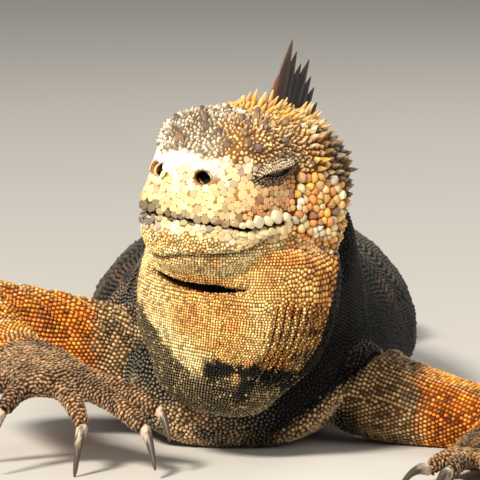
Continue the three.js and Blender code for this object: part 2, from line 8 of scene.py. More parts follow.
import bmesh
import bpy
import numpy as np
from mathutils import Matrix, Vector, noise
from mathutils.bvhtree import BVHTree
from mathutils.kdtree import KDTree


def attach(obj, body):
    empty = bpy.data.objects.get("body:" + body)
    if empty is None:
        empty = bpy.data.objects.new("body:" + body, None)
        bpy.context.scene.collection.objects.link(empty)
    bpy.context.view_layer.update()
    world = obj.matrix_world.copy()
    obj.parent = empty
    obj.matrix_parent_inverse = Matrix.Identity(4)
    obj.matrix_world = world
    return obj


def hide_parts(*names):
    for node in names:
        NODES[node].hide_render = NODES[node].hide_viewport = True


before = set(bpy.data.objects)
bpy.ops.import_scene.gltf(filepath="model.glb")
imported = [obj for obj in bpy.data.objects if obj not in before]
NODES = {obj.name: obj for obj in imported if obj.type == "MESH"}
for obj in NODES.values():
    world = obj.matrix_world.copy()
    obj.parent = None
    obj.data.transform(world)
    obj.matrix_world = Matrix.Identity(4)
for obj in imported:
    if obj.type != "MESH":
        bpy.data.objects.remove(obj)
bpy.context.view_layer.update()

MM = 0.001
SEED = 4711
draw = np.random.default_rng(SEED)
PLACE = np.array((-2.648, -323.877, 0.0))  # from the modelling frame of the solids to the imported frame


# Camera

AIM = Vector((-5.35, -385.9, 72.6)) * MM
CAMERA_TURN = math.radians(2.5)
CAMERA_RISE = math.radians(5.5)
CAMERA_DISTANCE = 1750 * MM
CAMERA_LENS = 400
CAMERA_SENSOR = 36
CAMERA_FAR = 100  # metres


def make_camera():
    """A long lens a little above the floor, nearly in line with the body"""
    back = Vector((
        math.sin(CAMERA_TURN) * math.cos(CAMERA_RISE),
        -math.cos(CAMERA_TURN) * math.cos(CAMERA_RISE),
        math.sin(CAMERA_RISE),
    ))
    data = bpy.data.cameras.new("camera")
    data.lens = CAMERA_LENS
    data.sensor_width = CAMERA_SENSOR
    data.clip_end = CAMERA_FAR
    camera = bpy.data.objects.new("camera", data)
    camera.location = AIM + back * CAMERA_DISTANCE
    camera.rotation_euler = (-back).to_track_quat("-Z", "Y").to_euler()
    bpy.context.scene.collection.objects.link(camera)
    bpy.context.scene.camera = camera


make_camera()


# Small helpers

def unit(v):
    """The same directions at a length of 1"""
    return v / np.maximum(np.linalg.norm(v, axis=-1, keepdims=True), 1e-12)


def swell(distance, reach, power=2):
    """1 at a feature and next to nothing past its reach, with a steeper edge for a higher power"""
    return np.exp(-(distance / reach) ** power)


def smooth(low, high, value):
    """0 below low, 1 above high and a soft step between"""
    t = np.clip((value - low) / (high - low), 0, 1)
    return t * t * (3 - 2 * t)


def linear(red, green, blue):
    """A colour given as 0 to 255 on screen, in the linear light that shaders use"""
    c = np.array((red, green, blue)) / 255
    return np.where(c <= 0.04045, c / 12.92, ((c + 0.055) / 1.055) ** 2.4)


def mix(a, b, share):
    """Colour a with a share of colour b"""
    share = np.asarray(share)[..., None]
    return a * (1 - share) + b * share


CLOUD_STEP = 17.3  # how far apart in the noise the clouds of two seeds lie
CLOUD_GAIN = 1.6


def cloud(points, size, seed):
    """Smooth uneven numbers of about -1 to 1, with patches of one size"""
    scaled = points / size + seed * CLOUD_STEP
    return np.array([noise.noise(Vector(p)) for p in scaled]) * CLOUD_GAIN


def lengths_along(path):
    """How far along a path each of its points lies"""
    return np.concatenate(([0], np.cumsum(np.linalg.norm(np.diff(path, axis=0), axis=1))))


def point_at(place, along, path):
    """The point of a path at a length along it"""
    return np.array([np.interp(place, along, path[:, k]) for k in range(3)])


def finder_of(points):
    """A tree that finds the nearest of some points"""
    finder = KDTree(len(points))
    for number, p in enumerate(points):
        finder.insert(p, number)
    finder.balance()
    return finder


def linked(name, data):
    """A new object in the scene"""
    thing = bpy.data.objects.new(name, data)
    bpy.context.scene.collection.objects.link(thing)
    return thing


def finished(thing):
    """The object's mesh with its modifiers applied"""
    graph = bpy.context.evaluated_depsgraph_get()
    made = bpy.data.meshes.new_from_object(thing.evaluated_get(graph))
    old = thing.data
    thing.modifiers.clear()
    thing.data = made
    bpy.data.meshes.remove(old)
    return thing


def points_of(data):
    """The corners of a mesh in millimetres"""
    flat = np.empty(len(data.vertices) * 3, np.float32)
    data.vertices.foreach_get("co", flat)
    return flat.reshape(-1, 3).astype(float) / MM


def place_points(data, points):
    """Moves the corners of a mesh to places in millimetres"""
    data.vertices.foreach_set("co", (points * MM).astype(np.float32).ravel())
    data.update()


def normals_of(data):
    """The facing of each corner of a mesh"""
    flat = np.empty(len(data.vertices) * 3, np.float32)
    data.vertex_normals.foreach_get("vector", flat)
    return flat.reshape(-1, 3).astype(float)


def edges_of(data):
    """The two corners of each edge of a mesh"""
    flat = np.empty(len(data.edges) * 2, np.int32)
    data.edges.foreach_get("vertices", flat)
    return flat.reshape(-1, 2)


def even_out(values, edges, count, times, share=0.5):
    """Values at the corners of a mesh, each drawn towards the mean of its neighbours"""
    share = np.broadcast_to(np.asarray(share, float), (count,))[:, None]
    a, b = edges.T
    degree = np.bincount(a, minlength=count) + np.bincount(b, minlength=count)
    degree = np.maximum(degree, 1)[:, None]
    values = values.copy()
    for _ in range(times):
        total = np.stack([
            np.bincount(a, values[b, k], count) + np.bincount(b, values[a, k], count)
            for k in range(values.shape[1])
        ], axis=1)
        values += (total / degree - values) * share
    return values


# The head's own frame: x forward, y to the animal's left, z up, from between the mouth corners

HEAD_PLACE = np.array((-5, -62, 77.7)) + PLACE
HEAD_TURN, HEAD_PITCH, HEAD_ROLL = np.radians((32.5, 9, 6.5))


def head_axes():
    """Forward, left and up of the head, after its turn, pitch and roll"""
    forward = np.array((
        -math.sin(HEAD_TURN) * math.cos(HEAD_PITCH),
        -math.cos(HEAD_TURN) * math.cos(HEAD_PITCH),
        math.sin(HEAD_PITCH),
    ))
    level = np.array((math.cos(HEAD_TURN), -math.sin(HEAD_TURN), 0))
    upright = np.cross(forward, level)
    left = level * math.cos(HEAD_ROLL) - upright * math.sin(HEAD_ROLL)
    return np.array((forward, left, np.cross(forward, left)))


HEAD_AXES = head_axes()


def to_head(points):
    """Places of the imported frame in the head's frame"""
    return (points - HEAD_PLACE) @ HEAD_AXES.T


def from_head(points):
    """Places of the head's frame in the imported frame"""
    return np.asarray(points, float) @ HEAD_AXES + HEAD_PLACE


# Skin: one surface made from the flesh of the solids, without their spines

SPINY = ["head", "lower_jaw", "throat", "neck", "torso", "hips", "tail_1", "tail_2", "tail_3", "tail_4"]
LIMBS = [f"{part}_{side}" for part in ("upper_arm", "forearm", "hand", "thigh", "shank", "foot")
         for side in ("right", "left")]
EYES = ["eye_left", "eye_right"]
CLAWS = sorted(n for n in NODES if "_claw_" in n)

SKIN_GRAIN = 1.1
BODY_GRAIN = 1.0
BODY_ROUNDS = 6  # rounds of smoothing after the spines are off
SPINE_HALF = 1.7  # spines thinner than twice this are taken off
SKIN_DEPTH = 0.7  # how far the skin lies inside the solids
SEAM = 0.2
LIMB_DEPTH = 0.42  # how far the skin of the limbs lies inside theirs


def merged(names, title, grow):
    """Copies of solids as one mesh with shared corners, grown outwards"""
    form = bmesh.new()
    for name in names:
        form.from_mesh(NODES[name].data)
    bmesh.ops.remove_doubles(form, verts=form.verts, dist=1e-6)
    form.normal_update()
    for corner in form.verts:
        corner.co += corner.normal * grow * MM
    data = bpy.data.meshes.new(title)
    form.to_mesh(data)
    form.free()
    return linked(title, data)


def remesh(thing, grain):
    """Makes one closed surface of an object's overlapping parts"""
    step = thing.modifiers.new("remesh", "REMESH")
    step.mode = "VOXEL"
    step.voxel_size = grain * MM
    return finished(thing)


def opened(thing, half):
    """Wears the mesh away by a depth, which leaves nothing of its thin spines"""
    group = bpy.data.node_groups.new("wear", "GeometryNodeTree")
    group.interface.new_socket("Geometry", in_out="INPUT", socket_type="NodeSocketGeometry")
    group.interface.new_socket("Geometry", in_out="OUTPUT", socket_type="NodeSocketGeometry")
    start = group.nodes.new("NodeGroupInput")
    end = group.nodes.new("NodeGroupOutput")
    volume = group.nodes.new("GeometryNodeMeshToVolume")
    volume.resolution_mode = "VOXEL_SIZE"
    volume.inputs["Voxel Size"].default_value = MM
    volume.inputs["Interior Band Width"].default_value = 2 * half * MM
    surface = group.nodes.new("GeometryNodeVolumeToMesh")
    surface.inputs["Threshold"].default_value = 0.5
    group.links.new(start.outputs[0], volume.inputs["Mesh"])
    group.links.new(volume.outputs[0], surface.inputs["Volume"])
    group.links.new(surface.outputs[0], end.inputs[0])
    thing.modifiers.new("wear", "NODES").node_group = group
    return finished(thing)


def largest_part(data):
    """Drops loose scraps, so that the mesh is one surface"""
    form = bmesh.new()
    form.from_mesh(data)
    left = set(form.verts)
    parts = []
    while left:
        stack = [left.pop()]
        part = []
        while stack:
            corner = stack.pop()
            part.append(corner)
            for edge in corner.link_edges:
                other = edge.other_vert(corner)
                if other in left:
                    left.remove(other)
                    stack.append(other)
        parts.append(part)
    parts.sort(key=len)
    bmesh.ops.delete(form, geom=[v for part in parts[:-1] for v in part], context="VERTS")
    form.to_mesh(data)
    form.free()


def make_skin():
    """The flesh of head, body and limbs as one closed surface"""
    body = remesh(merged(SPINY + EYES, "body", SEAM), BODY_GRAIN)
    opened(body, SPINE_HALF)
    largest_part(body.data)
    edges = edges_of(body.data)
    points = points_of(body.data)
    points = even_out(points, edges, len(points), BODY_ROUNDS)
    place_points(body.data, points)
    points = points + normals_of(body.data) * (SPINE_HALF + SEAM - SKIN_DEPTH)
    place_points(body.data, points)
    limbs = merged(LIMBS, "limbs", -LIMB_DEPTH)
    skin = bmesh.new()
    skin.from_mesh(body.data)
    skin.from_mesh(limbs.data)
    data = bpy.data.meshes.new("skin")
    skin.to_mesh(data)
    skin.free()
    for spent in (body, limbs):
        bpy.data.meshes.remove(spent.data)
    made = remesh(linked("skin", data), SKIN_GRAIN)
    largest_part(made.data)
    return made


skin = make_skin()


FACE_REAR = -16  # the refined part of the face reaches back to here
FACE_HEIGHTS = (-50, 27)
FACE_SIDE = 40


def refine_face(thing):
    """Quarters the faces at the front of the head, where the small features are"""
    form = bmesh.new()
    form.from_mesh(thing.data)
    form.verts.ensure_lookup_table()
    at = to_head(np.array([v.co for v in form.verts]) / MM)
    x, y, z = at.T
    near = (x > FACE_REAR) & (abs(y) < FACE_SIDE) & (z > FACE_HEIGHTS[0]) & (z < FACE_HEIGHTS[1])
    chosen = [e for e in form.edges if near[e.verts[0].index] and near[e.verts[1].index]]
    bmesh.ops.subdivide_edges(form, edges=chosen, cuts=1, use_grid_fill=True)
    bmesh.ops.triangulate(form, faces=[f for f in form.faces if len(f.verts) > 4])
    form.to_mesh(thing.data)
    form.free()


refine_face(skin)


# Which solid each point of the skin belongs to

def nearest_solid(points):
    """The name of the solid whose surface lies nearest to each point"""
    corners, faces, owner = [], [], []
    names = SPINY + LIMBS
    for number, name in enumerate(names):
        data = NODES[name].data
        start = len(corners)
        corners.extend(v.co.copy() for v in data.vertices)
        faces.extend([[start + i for i in p.vertices] for p in data.polygons])
        owner.extend([number] * len(data.polygons))
    tree = BVHTree.FromPolygons(corners, faces)
    owner = np.array(owner)
    hits = [tree.find_nearest(Vector(p))[2] for p in points * MM]
    return np.array(names)[owner[hits]]


SKIN_ROUNDS = 14  # rounds of smoothing
SKIN_SOFTNESS = 0.5
DIGIT_SOFTNESS = 0.25

points = points_of(skin.data)
edges = edges_of(skin.data)
zone = nearest_solid(points)
on_digits = np.array([z.split("_")[0] in ("hand", "foot") for z in zone])
softness = np.where(on_digits, DIGIT_SOFTNESS, SKIN_SOFTNESS)
points = even_out(points, edges, len(points), SKIN_ROUNDS, softness)
place_points(skin.data, points)
facing = normals_of(skin.data)


def belongs(*starts):
    """1 for each point whose solid's name begins with one of some words, 0 for the others"""
    return np.array([z.startswith(starts) for z in zone]).astype(float)


IN_HEAD = belongs("head")
IN_JAW = belongs("lower_jaw")
IN_THROAT = belongs("throat")
IN_NECK = belongs("neck")
IN_ARM = belongs("upper_arm", "forearm")
IN_HAND = belongs("hand")
IN_LEG = belongs("thigh", "shank")
IN_FOOT = belongs("foot")
IN_TAIL = belongs("tail")
IN_TRUNK = belongs("torso", "hips")


# Features of the face, in the head's own frame

# Points along the mouth and how high each lies
MOUTH_LINE = np.array([[2, 4.6], [8, 3.5], [12.4, 2.3], [19.4, 0.2], [25, -0.6], [33, -0.4], [60, -0.3]])
MOUTH_CENTRE = 8.0  # rays round the mouth start here on the head's middle line
MOUTH_SWEEP = 97  # degrees each way from straight ahead
NOSTRIL = np.array((31.8, 8.5, 14.2))
NOSTRIL_OVAL = (1.35, 1.1, 0.95)
NOSTRIL_BEND = (0.5, -0.9, 0)  # from the middle of the opening to its deepest part
EYE_SEAT = np.array((9.5, 16, 19))
EYE_RADIUS = 6.6
SLIT_CENTRE = np.array((11.8, 20.4))  # along and up
SLIT_TILT = math.radians(20)
SLIT_HALF = 6.9
SLIT_OPEN = 0.8
LID_OVAL = (8.5, 3.5)
FOLD_UNDER_CHIN = [(15, -17, -19.5), (17.5, -11.5, -20.2), (19.4, -3, -21.1), (19, 4.9, -21.4),
                   (16.8, 13.4, -20.7), (14.1, 19.2, -19.5)]
FOLD_UNDER_LIP = [(24, -16, -12), (31.7, 3.8, -12.3), (30.1, 10.4, -10.7), (20.2, 18.9, -7.8),
                  (9, 23.5, -0.6)]
# The crease between the neck and the left arm, in the modelling frame
SHOULDER_CREASE = [(46, 2, 28), (42.5, -16.2, 30.5), (37.6, -22, 28.4), (32.6, -25.1, 24.7),
                   (27.8, -31.6, 21.4), (22.9, -37.8, 17.5), (18, -39.7, 13), (13.3, -39.3, 8.2)]
CREASE_END = (13.3, 8)  # across and up
CREASE_SLOPE = 1.35
SLIT_BEND = 0.7
MOUTH_TIP = 36


def mouth_height(x):
    """Height of the mouth line at a place along the head"""
    return np.interp(x, MOUTH_LINE[:, 0], MOUTH_LINE[:, 1])


def tree_of(data):
    """A tree of a mesh's faces for rays and nearest points"""
    corners = [v.co.copy() for v in data.vertices]
    return BVHTree.FromPolygons(corners, [list(p.vertices) for p in data.polygons])


def cast(tree, start, way, reach=200.0):
    """Where a ray meets the tree's faces, with their facing and number, or nothing three times"""
    hit, normal, face, _ = tree.ray_cast(Vector(start) * MM, Vector(way), reach * MM)
    return (None, None, None) if hit is None else (np.array(hit) / MM, np.array(normal), face)


def round_mouth(tree, lift, count=240):
    """Points on the face along the mouth line, moved up or down by a lift, from right to left"""
    found = []
    for angle in np.radians(np.linspace(-MOUTH_SWEEP, MOUTH_SWEEP, count)):
        way = np.array((math.cos(angle), math.sin(angle), 0))
        height = mouth_height(MOUTH_TIP)
        hit = None
        for _ in range(3):
            hit, _, _ = cast(tree, from_head((MOUTH_CENTRE, 0, height + lift)), way @ HEAD_AXES, 60)
            if hit is None:
                break
            height = mouth_height(to_head(hit)[0])
        if hit is not None:
            found.append(hit)
    return np.array(found)


def dense(path, step=0.3):
    """A path of few points as many points at even steps, rounded at its corners"""
    path = np.asarray(path, float)
    along = lengths_along(path)
    fine = np.linspace(0, along[-1], max(2, int(along[-1] / step)))
    line = np.stack([np.interp(fine, along, path[:, k]) for k in range(3)], axis=1)
    for _ in range(30):
        line[1:-1] = (line[:-2] + line[2:] + 2 * line[1:-1]) / 4
    return line


def on_skin(tree, path):
    """The points of the skin nearest to those of a path"""
    return np.array([tree.find_nearest(Vector(p) * MM)[0] for p in path]) / MM


def along_path(where, path, reach=12):
    """Distance of each point to a dense path, and how far along it is as a share"""
    finder = finder_of(path)
    low, high = path.min(0) - reach, path.max(0) + reach
    inside = np.all((where > low) & (where < high), axis=1)
    away = np.full(len(where), 99.0)
    share = np.zeros(len(where))
    found = [finder.find(p)[1:] for p in where[inside]]
    away[inside] = [d for _, d in found]
    share[inside] = [n / len(path) for n, _ in found]
    return away, share


def eye_place(at):
    """Along the slit between the lids towards the back, and across it upwards"""
    x, z = at[:, 0] - SLIT_CENTRE[0], at[:, 2] - SLIT_CENTRE[1]
    back = -x * math.cos(SLIT_TILT) + z * math.sin(SLIT_TILT)
    rise = x * math.sin(SLIT_TILT) + z * math.cos(SLIT_TILT)
    return back, rise


def slit_middle(back):
    """How high the middle of the slit lies over its chord: it sags below it"""
    return -SLIT_BEND * (1 - (back / SLIT_HALF) ** 2)


def slit_half(back):
    """Half the opening between the lids"""
    return SLIT_OPEN * np.maximum(1 - (back / SLIT_HALF) ** 2, 0)


tree = tree_of(skin.data)
at = to_head(points)
seat = points - PLACE
mirrored = at * (1, 0, 1) + np.abs(at) * (0, 1, 0)

to_mouth, mouth_share = along_path(points, round_mouth(tree, 0))
mouth_wide = 0.5 + 0.5 * swell(abs(mouth_share - 0.5) - 0.28, 0.13)
to_chin_fold, chin_share = along_path(points, on_skin(tree, from_head(dense(FOLD_UNDER_CHIN))))
chin_wide = 0.5 + 1.15 * np.sin(np.pi * np.clip(chin_share, 0, 1)) ** 0.7
to_lip_fold, _ = along_path(points, on_skin(tree, from_head(dense(FOLD_UNDER_LIP))))
to_shoulder, _ = along_path(points, on_skin(tree, dense(SHOULDER_CREASE) + PLACE))
below_crease = seat[:, 0] - CREASE_END[0] - (seat[:, 2] - CREASE_END[1]) * CREASE_SLOPE

to_nostril = np.linalg.norm((mirrored - NOSTRIL) / NOSTRIL_OVAL, axis=1)
to_hole = np.linalg.norm((mirrored - NOSTRIL - NOSTRIL_BEND) / NOSTRIL_OVAL, axis=1)
back, over = eye_place(at)
on_side = smooth(12, 16, mirrored[:, 1])
lid_ring = np.hypot(back / LID_OVAL[0], over / LID_OVAL[1]) + 9 * (1 - on_side)
in_slit = swell(over - slit_middle(back), np.maximum(slit_half(back), 0.25), 4) * on_side
in_slit *= abs(back) < SLIT_HALF

# Upright folds on the sides of the throat
FOLD_ANGLES = (60, 112)  # degrees round the throat from straight ahead
FOLD_PERIOD = 5.0
THROAT_CENTRE = -9  # along the head
round_throat = np.degrees(np.arctan2(mirrored[:, 1], at[:, 0] - THROAT_CENTRE))
fold_zone = smooth(FOLD_ANGLES[0] - 6, FOLD_ANGLES[0] + 4, round_throat)
fold_zone *= smooth(FOLD_ANGLES[1] + 8, FOLD_ANGLES[1], round_throat)
fold_zone *= smooth(-17, -27, at[:, 2]) * smooth(-53, -46, at[:, 2])
throat_fold = np.cos(round_throat / FOLD_PERIOD * 2 * np.pi + at[:, 2] * 0.06 + 0.8 * cloud(points, 12, 5))
throat_fold = fold_zone * (0.5 + 0.5 * throat_fold) ** 2


def relief():
    """How far each point of the skin is moved outwards by the features, or inwards below nought"""
    features = {
        "line of the mouth": -2.6 * swell(to_mouth, mouth_wide),
        "fold under the chin": -4.6 * swell(to_chin_fold, chin_wide, 4),
        "edges of that fold": 0.9 * swell(to_chin_fold - 3.4, 1.8),
        "fold under the lip": -1.1 * swell(to_lip_fold, 0.9),
        "edges of the lip fold": 0.5 * swell(to_lip_fold - 2.6, 1.5),
        "nostril": -3.2 * swell(to_nostril, 2.35, 6),
        "rim of the nostril": 0.7 * swell(to_nostril - 3.5, 0.8),
        "lids": 1.0 * smooth(1.0, 0.6, lid_ring),
        "groove round the lids": -0.5 * swell(lid_ring - 1.12, 0.09),
        "slit between the lids": -2.6 * in_slit,
        "folds of the throat": -2.5 * throat_fold,
        "crease of the shoulder": -2.6 * swell(to_shoulder, 1.8),
        "flesh below the crease": 1.2 * swell(to_shoulder - 4.5, 2.5) * smooth(-1, 1, below_crease),
    }
    return sum(features.values())


FLOOR_GAP = 0.05  # what grows on the skin stays this far above the floor
points = points + facing * relief()[:, None]
points[:, 2] = np.maximum(points[:, 2], 2 * FLOOR_GAP)
place_points(skin.data, points)
facing = normals_of(skin.data)
at = to_head(points)
seat = points - PLACE


# Kinds of scale, and where on the skin each kind grows

KINDS = {
    # kind: spacing, rise for its width, painted shade between the scales, paleness of the painted highlight
    # on the tip, unevenness of tone
    "back": (2.6, 0.36, 0.3, 0.14, 0.4),
    "belly": (3.3, 0.2, 0.4, 0.08, 0.25),
    "tail": (2.9, 0.36, 0.3, 0.12, 0.35),
    "leg": (2.2, 0.38, 0.35, 0.12, 0.25),
    "foot": (1.7, 0.34, 0.3, 0.15, 0.25),
    "arm": (1.5, 0.44, 0.1, 0.3, 0.45),
    "hand": (1.25, 0.3, 0.14, 0.22, 0.4),
    "neck": (1.35, 0.4, 0.2, 0.34, 0.55),
    "throat": (0.92, 0.42, 0.18, 0.34, 0.4),
    "pouch": (1.0, 0.38, 0.2, 0.42, 0.7),
    "chin": (1.0, 0.38, 0.24, 0.42, 0.4),
    "lip": (1.9, 0.13, 0.6, 0.08, 0.1),
    "snout": (2.4, 0.07, 0.66, 0.0, 0.05),
    "muzzle": (1.9, 0.13, 0.34, 0.06, 0.24),
    "crown": (1.35, 0.55, 0.12, 0.5, 0.42),
    "thorny": (2.7, 0.85, 0.04, 0.3, 0.4),
    "cheek": (1.4, 0.26, 0.2, 0.25, 0.3),
    "eyelid": (1.15, 0.5, 0.2, 0.35, 0.3),
    "jowl": (2.5, 0.44, 0.06, 0.25, 0.3),
}
# Lower edge of the golden throat: distance to the side and height in the head's frame
GOLD_EDGE = np.array([
    [-34, -24], [-24, -30], [-12.7, -37], [-8.9, -42], [-5, -45], [0, -48.5], [4.6, -51.5], [8, -49.5],
    [9.5, -46.2], [13.2, -44], [15, -44.4], [16.3, -51], [18, -49], [19.5, -44.5], [23.1, -42.5],
    [23.8, -44.3], [25.4, -43.4], [27.2, -43.6], [28.6, -42.2], [31.3, -36.7], [32.6, -32], [34, -24],
])
BELLY_FACING = -0.35
BIG_PLATES = (23, 18.5, 12.5)  # the large plates in front of each eye
BIG_PLATES_REACH = 4.5
CHIN_LOW = -17
CHEST_REAR = 12


def kinds_of():
    """The kind of scale at each point, by its solid and its place on the head; a later line wins"""
    x, y, z = at.T
    side = abs(y)
    head = IN_HEAD > 0
    kind = np.full(len(points), "back", dtype="U8")
    kind[facing[:, 2] < BELLY_FACING] = "belly"
    limbs = {"tail": IN_TAIL, "arm": IN_ARM, "hand": IN_HAND, "leg": IN_LEG, "foot": IN_FOOT}
    for name, share in limbs.items():
        kind[share > 0] = name
    chest = (points[:, 1] < PLACE[1] + CHEST_REAR + 12 * cloud(points, 16, 6)) & (IN_TRUNK > 0)
    kind[(IN_NECK > 0) | chest] = "neck"
    kind[(IN_THROAT > 0) | (IN_JAW > 0)] = "throat"
    kind[(IN_JAW > 0) & (z > CHIN_LOW)] = "chin"
    kind[head] = "muzzle"
    big_plates = np.linalg.norm(mirrored - BIG_PLATES, axis=1) < BIG_PLATES_REACH
    kind[head & ((z > 15.5 + 1.6 * cloud(points, 5, 3)) & (side < 14.5) | big_plates)] = "snout"
    kind[head & (x < 24) & (z < 14 - 0.35 * x + 1.5 * cloud(points, 5, 7)) & (to_mouth > 3)] = "cheek"
    kind[head & (x < 21) & (z > 16) & (side > 14)] = "cheek"
    kind[head & (z > 24.8 - 0.12 * x + 1.8 * cloud(points, 4, 9))] = "crown"
    kind[head & (x < 1) & (z > 15)] = "crown"
    kind[head & (x < -4) & (z > 14) & (side > 15)] = "thorny"
    kind[head & (x < -15) & (side > 20)] = "thorny"
    jowl = (x < 3) & (x > -18) & (z > -2) & (z < 22.5 + 0.1 * x) & (side > 12)
    kind[(head | (IN_THROAT > 0)) & jowl] = "jowl"
    lower = (z < mouth_height(x)) & (z > -9) & (x > 3) & (IN_HEAD + IN_JAW > 0)
    kind[lower & (to_mouth < 5 + cloud(points, 6, 8))] = "lip"
    kind[(lid_ring < 1.3) & head] = "eyelid"
    edge = np.interp(y, GOLD_EDGE[:, 0], GOLD_EDGE[:, 1]) + cloud(points, 4, 2)
    kind[(kind == "throat") & (z < edge)] = "pouch"
    return kind


kind = kinds_of()
KIND_ROUNDS = 4  # rounds in which neighbouring kinds blend
numbers = np.array([KINDS[k] for k in kind])
numbers = even_out(numbers, edges, len(points), KIND_ROUNDS)
spacing, rise, between, pale, uneven = numbers.T
to_rear = smooth(16, -12, at[:, 0]) * smooth(-48, -30, at[:, 2])
spacing = spacing + 0.75 * to_rear * np.isin(kind, ("throat", "chin")) * (1 - 0.9 * fold_zone)
spacing = spacing - 1.1 * smooth(75, 5, points[:, 1] - PLACE[1]) * (kind == "back")
spacing = spacing - 1.0 * smooth(6, -2, at[:, 2]) * (kind == "jowl")


# Colours

CREAM = linear(240, 230, 208)
WHITE = linear(250, 247, 238)
GOLD = linear(238, 192, 116)
WHEAT = linear(248, 214, 150)
AMBER = linear(214, 132, 48)
TAN = linear(202, 160, 114)
MAUVE = linear(92, 76, 74)
PALE = linear(246, 224, 168)
ORANGE = linear(232, 138, 38)
DARK = linear(38, 37, 34)
BLACK = linear(16, 16, 17)
SLATE = linear(64, 60, 54)
OLIVE = linear(96, 84, 60)
RUST = linear(120, 64, 34)
GREY_HAND = linear(168, 132, 94)
FINGER = linear(116, 86, 58)
LIP = linear(238, 214, 160)
YELLOW = linear(244, 186, 62)
LIT_GREY = linear(182, 154, 114)
NIGHT = linear(30, 31, 35)
PURPLE = linear(116, 98, 92)
BELLY = linear(112, 94, 66)
DULL = linear(84, 74, 62)
TIP_LIGHT = linear(255, 226, 168)
FLAME = mix(AMBER, ORANGE, 0.5)
JOWL_COLOURS = np.array([AMBER, ORANGE, YELLOW, YELLOW, PALE, WHEAT, CREAM, GOLD, GOLD, RUST])
THORN_COLOURS = np.array([GOLD, YELLOW, CREAM, TAN, AMBER, RUST])


# Markings: the tint of the skin at each of its corners, and of what grows there

# Patches of the throat: centre in the head's frame and radius
BLACK_PATCHES = [((11.7, 9.3, -47.5), 3), ((10.8, 12, -46.4), 3), ((9.8, 14.5, -46.6), 2.6),
                 ((5.8, 20, -47), 3.2), ((4, 19.5, -51), 3.6), ((2, 18, -54.6), 3.2), ((5, 22, -45), 2.6),
                 ((0.5, 24.6, -46), 3), ((-5, 26, -47), 2.8), ((-9, 27.6, -44.8), 2.2)]
PALE_PATCHES = [((15.3, -7, -38.5), 4.2), ((15.3, -3.3, -41.8), 5), ((16, 1, -43), 5), ((14, 5, -45.5), 4.6),
                ((12.5, 0, -47.5), 3.6), ((11.5, 4, -50.5), 3)]
AMBER_PATCHES = [((15.7, 17, -26), 4.5), ((18.7, 2.3, -32), 5), ((6, 20, -42), 4)]
# Rear edge of the golden throat, past which painted shade turns it black: height and place along the head
GOLD_REAR = np.array([[-50, -10], [-40, -12.5], [-30, -14.5], [-15, -15.5], [-8, -18.5], [4, -27]])

patch = cloud(points, 14, 1)
fleck = cloud(points, 4, 2)
broad = cloud(points, 40, 3)
mottle = cloud(points, 26, 4)

# Painted shade: black on the throat's side past its golden edge
shade_past_gold = at[:, 0] - np.interp(at[:, 2], GOLD_REAR[:, 0], GOLD_REAR[:, 1]) + 1.5 * cloud(points, 4, 21)
shade_past_gold = smooth(1.0, -1.4, shade_past_gold) * smooth(16, 24, at[:, 1]) * smooth(5, 1, at[:, 2])
# Painted shadow: black on the neck above the crease of the left shoulder
shadow_above_crease = smooth(0.6, -0.8, below_crease) * smooth(8, 13, seat[:, 0]) * smooth(54, 47, seat[:, 0])
shadow_above_crease *= smooth(40, 10, seat[:, 1]) * (1 - IN_HEAD) * (1 - IN_THROAT) * (1 - IN_JAW)
# Painted light: the chest and shoulder below the crease of the left shoulder, lit grey
lit_below_crease = smooth(-1, 2, seat[:, 0] - CREASE_END[0] - (seat[:, 2] - CREASE_END[1]) * CREASE_SLOPE)
lit_below_crease *= smooth(33, 29, seat[:, 2])
lit_below_crease *= smooth(8, -6, seat[:, 1])


def spots(places, soft=0.35):
    """How deep each point lies in any of some round patches with torn edges"""
    torn = 1 + 0.5 * cloud(points, 3.2, 11)
    deepest = np.zeros(len(points))
    for centre, radius in places:
        away = np.linalg.norm(at - centre, axis=1) / radius * torn
        deepest = np.maximum(deepest, smooth(1 + soft, 1 - soft, away))
    return deepest


def oval(middle, reach):
    """1 in the middle of an oval on the sides of the head, and next to nothing past its reach"""
    x, _, z = at.T
    return np.exp(-((x - middle[0]) / reach[0]) ** 2 - ((z - middle[1]) / reach[1]) ** 2)


def in_shade():
    """Where painted shade darkens the neck and body on the animal's left flank"""
    return smooth(-6, 14, seat[:, 0]) * smooth(160, 60, seat[:, 1]) * smooth(0.85, 0.2, facing[:, 2])


def colour_of_back():
    """Near black with olive and rusty mottling, and painted shade in black on the left flank near the neck"""
    tint = mix(NIGHT, SLATE, smooth(-0.3, 0.7, broad))
    tint = mix(tint, OLIVE, 0.6 * smooth(0, 0.6, -mottle) * smooth(-0.2, 0.4, -fleck))
    rusty = smooth(0.05, 0.5, mottle) * smooth(-0.1, 0.4, fleck) * smooth(0.9, 0.4, facing[:, 2])
    tint = mix(tint, mix(RUST, TAN, 0.35), 0.75 * rusty)
    # painted shade: black on the left flank
    return mix(tint, BLACK, 0.9 * in_shade())


def colour_of_arms():
    """Orange from below the shoulder, with rust and yellow flecks and a painted highlight along the upper
    edge, and grey at the shoulder painted lighter as painted light
    """
    tint = mix(ORANGE, AMBER, smooth(-0.3, 0.4, patch))
    tint = mix(tint, RUST, 0.55 * smooth(0.1, 0.6, fleck))
    tint = mix(tint, YELLOW, 0.5 * smooth(0.2, 0.7, -fleck))
    # painted highlight along the upward-facing edge of the arm
    lit_edge = smooth(0.7, 0.97, facing[:, 2]) * smooth(-0.5, 0.2, fleck)
    tint = mix(tint, PALE, (0.3 + 0.3 * (seat[:, 0] < 0)) * lit_edge)
    # painted light: the shoulder's grey is the lit grey
    shoulder = mix(LIT_GREY, SLATE, smooth(0.1, 0.9, patch))
    reach = abs(points[:, 0] - PLACE[0] + 4)
    return mix(shoulder, tint, smooth(58, 63, reach + 3 * fleck + 11 * (points[:, 0] < PLACE[0])))


def colour_of_hands():
    """Brown grey with slate flecks"""
    tint = mix(GREY_HAND, FINGER, smooth(-0.3, 0.4, patch))
    return mix(tint, SLATE, 0.5 * smooth(-0.1, 0.5, fleck))


